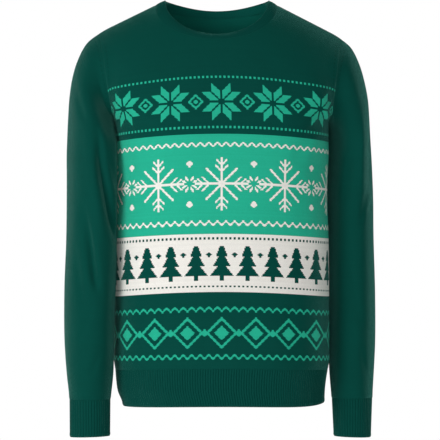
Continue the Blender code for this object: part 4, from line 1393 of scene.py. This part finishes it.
def make_floor():
    """Plain pale floor, a square grid well below the hem."""
    half = FLOOR_SIZE / 2
    mesh = bpy.data.meshes.new("floor")
    corners = [(x * half, y * half, FLOOR) for x, y in ((-1, -1), (1, -1), (1, 1), (-1, 1))]
    mesh.from_pydata(corners, [], [(0, 1, 2, 3)])
    material = bpy.data.materials.new("pale_floor")
    material.use_nodes = True
    set_surface(material.node_tree.nodes["Principled BSDF"], FLOOR_SURFACE)
    mesh.materials.append(material)
    return add_object("floor", mesh)


def aim(thing, place, target):
    """Stand a light or camera at a place, looking at a target."""
    thing.location = place
    direction = Vector(target) - Vector(place)
    thing.rotation_euler = direction.to_track_quat("-Z", "Y").to_euler()


def make_light(name, place, size, power):
    """Rectangular area light that faces the middle of the jumper."""
    lamp = bpy.data.lights.new(name, "AREA")
    lamp.shape = "RECTANGLE"
    lamp.size, lamp.size_y = size
    lamp.energy = power
    aim(add_object(name, lamp), place, (0.0, 0.0, MIDDLE_Z))


def light_all_round(strength):
    """Even light from all round, in front of a white backdrop."""
    world = bpy.data.worlds.new("studio")
    bpy.context.scene.world = world
    world.use_nodes = True
    tree = world.node_tree
    backdrop, glow = tree.nodes["Background"], tree.nodes.new("ShaderNodeBackground")
    set_surface(backdrop, {"Color": WHITE, "Strength": 1.0})
    set_surface(glow, {"Color": WHITE, "Strength": strength})
    seen = tree.nodes.new("ShaderNodeLightPath")
    both = tree.nodes.new("ShaderNodeMixShader")
    tree.links.new(seen.outputs["Is Camera Ray"], both.inputs["Fac"])
    tree.links.new(glow.outputs["Background"], both.inputs[1])
    tree.links.new(backdrop.outputs["Background"], both.inputs[2])
    tree.links.new(both.outputs["Shader"], tree.nodes["World Output"].inputs["Surface"])


def make_camera(distance, framed):
    """Level camera straight in front of the jumper."""
    lens = bpy.data.cameras.new("camera")
    lens.sensor_width = SENSOR
    lens.lens = SENSOR * distance / framed
    camera = add_object("camera", lens)
    aim(camera, (0.0, -distance, MIDDLE_Z), (0.0, 0.0, MIDDLE_Z))
    bpy.context.scene.camera = camera


class JUMPER_PT_sidebar(bpy.types.Panel):
    """Steps and sizes of the jumper"""

    bl_idname = "JUMPER_PT_sidebar"
    bl_label = "Christmas jumper"
    bl_space_type = "VIEW_3D"
    bl_region_type = "UI"
    bl_category = "Jumper"

    def draw(self, context):
        for step in STEPS:
            self.layout.operator(step.bl_idname)
        for group in (context.scene.jumper_colours, context.scene.jumper_knit,
                      context.scene.jumper_stage):
            box = self.layout.box()
            for name in group.__annotations__:
                box.prop(group, name)


STEPS = (JUMPER_OT_body, JUMPER_OT_sleeves, JUMPER_OT_ribbing, JUMPER_OT_trim, JUMPER_OT_stage)
GROUPS = {"jumper_colours": JumperColours, "jumper_knit": JumperKnit,
          "jumper_stage": JumperStage}


def register():
    for part in (*GROUPS.values(), *STEPS, JUMPER_PT_sidebar):
        bpy.utils.register_class(part)
    for name, group in GROUPS.items():
        setattr(bpy.types.Scene, name, bpy.props.PointerProperty(type=group))


def unregister():
    for name in GROUPS:
        delattr(bpy.types.Scene, name)
    for part in (JUMPER_PT_sidebar, *reversed(STEPS), *reversed(GROUPS.values())):
        bpy.utils.unregister_class(part)


def main():
    """Make every piece and the stage."""
    register()
    bpy.ops.jumper.body()
    bpy.ops.jumper.sleeves()
    bpy.ops.jumper.ribbing()
    bpy.ops.jumper.trim()
    bpy.ops.jumper.stage()


if __name__ == "__main__":
    main()
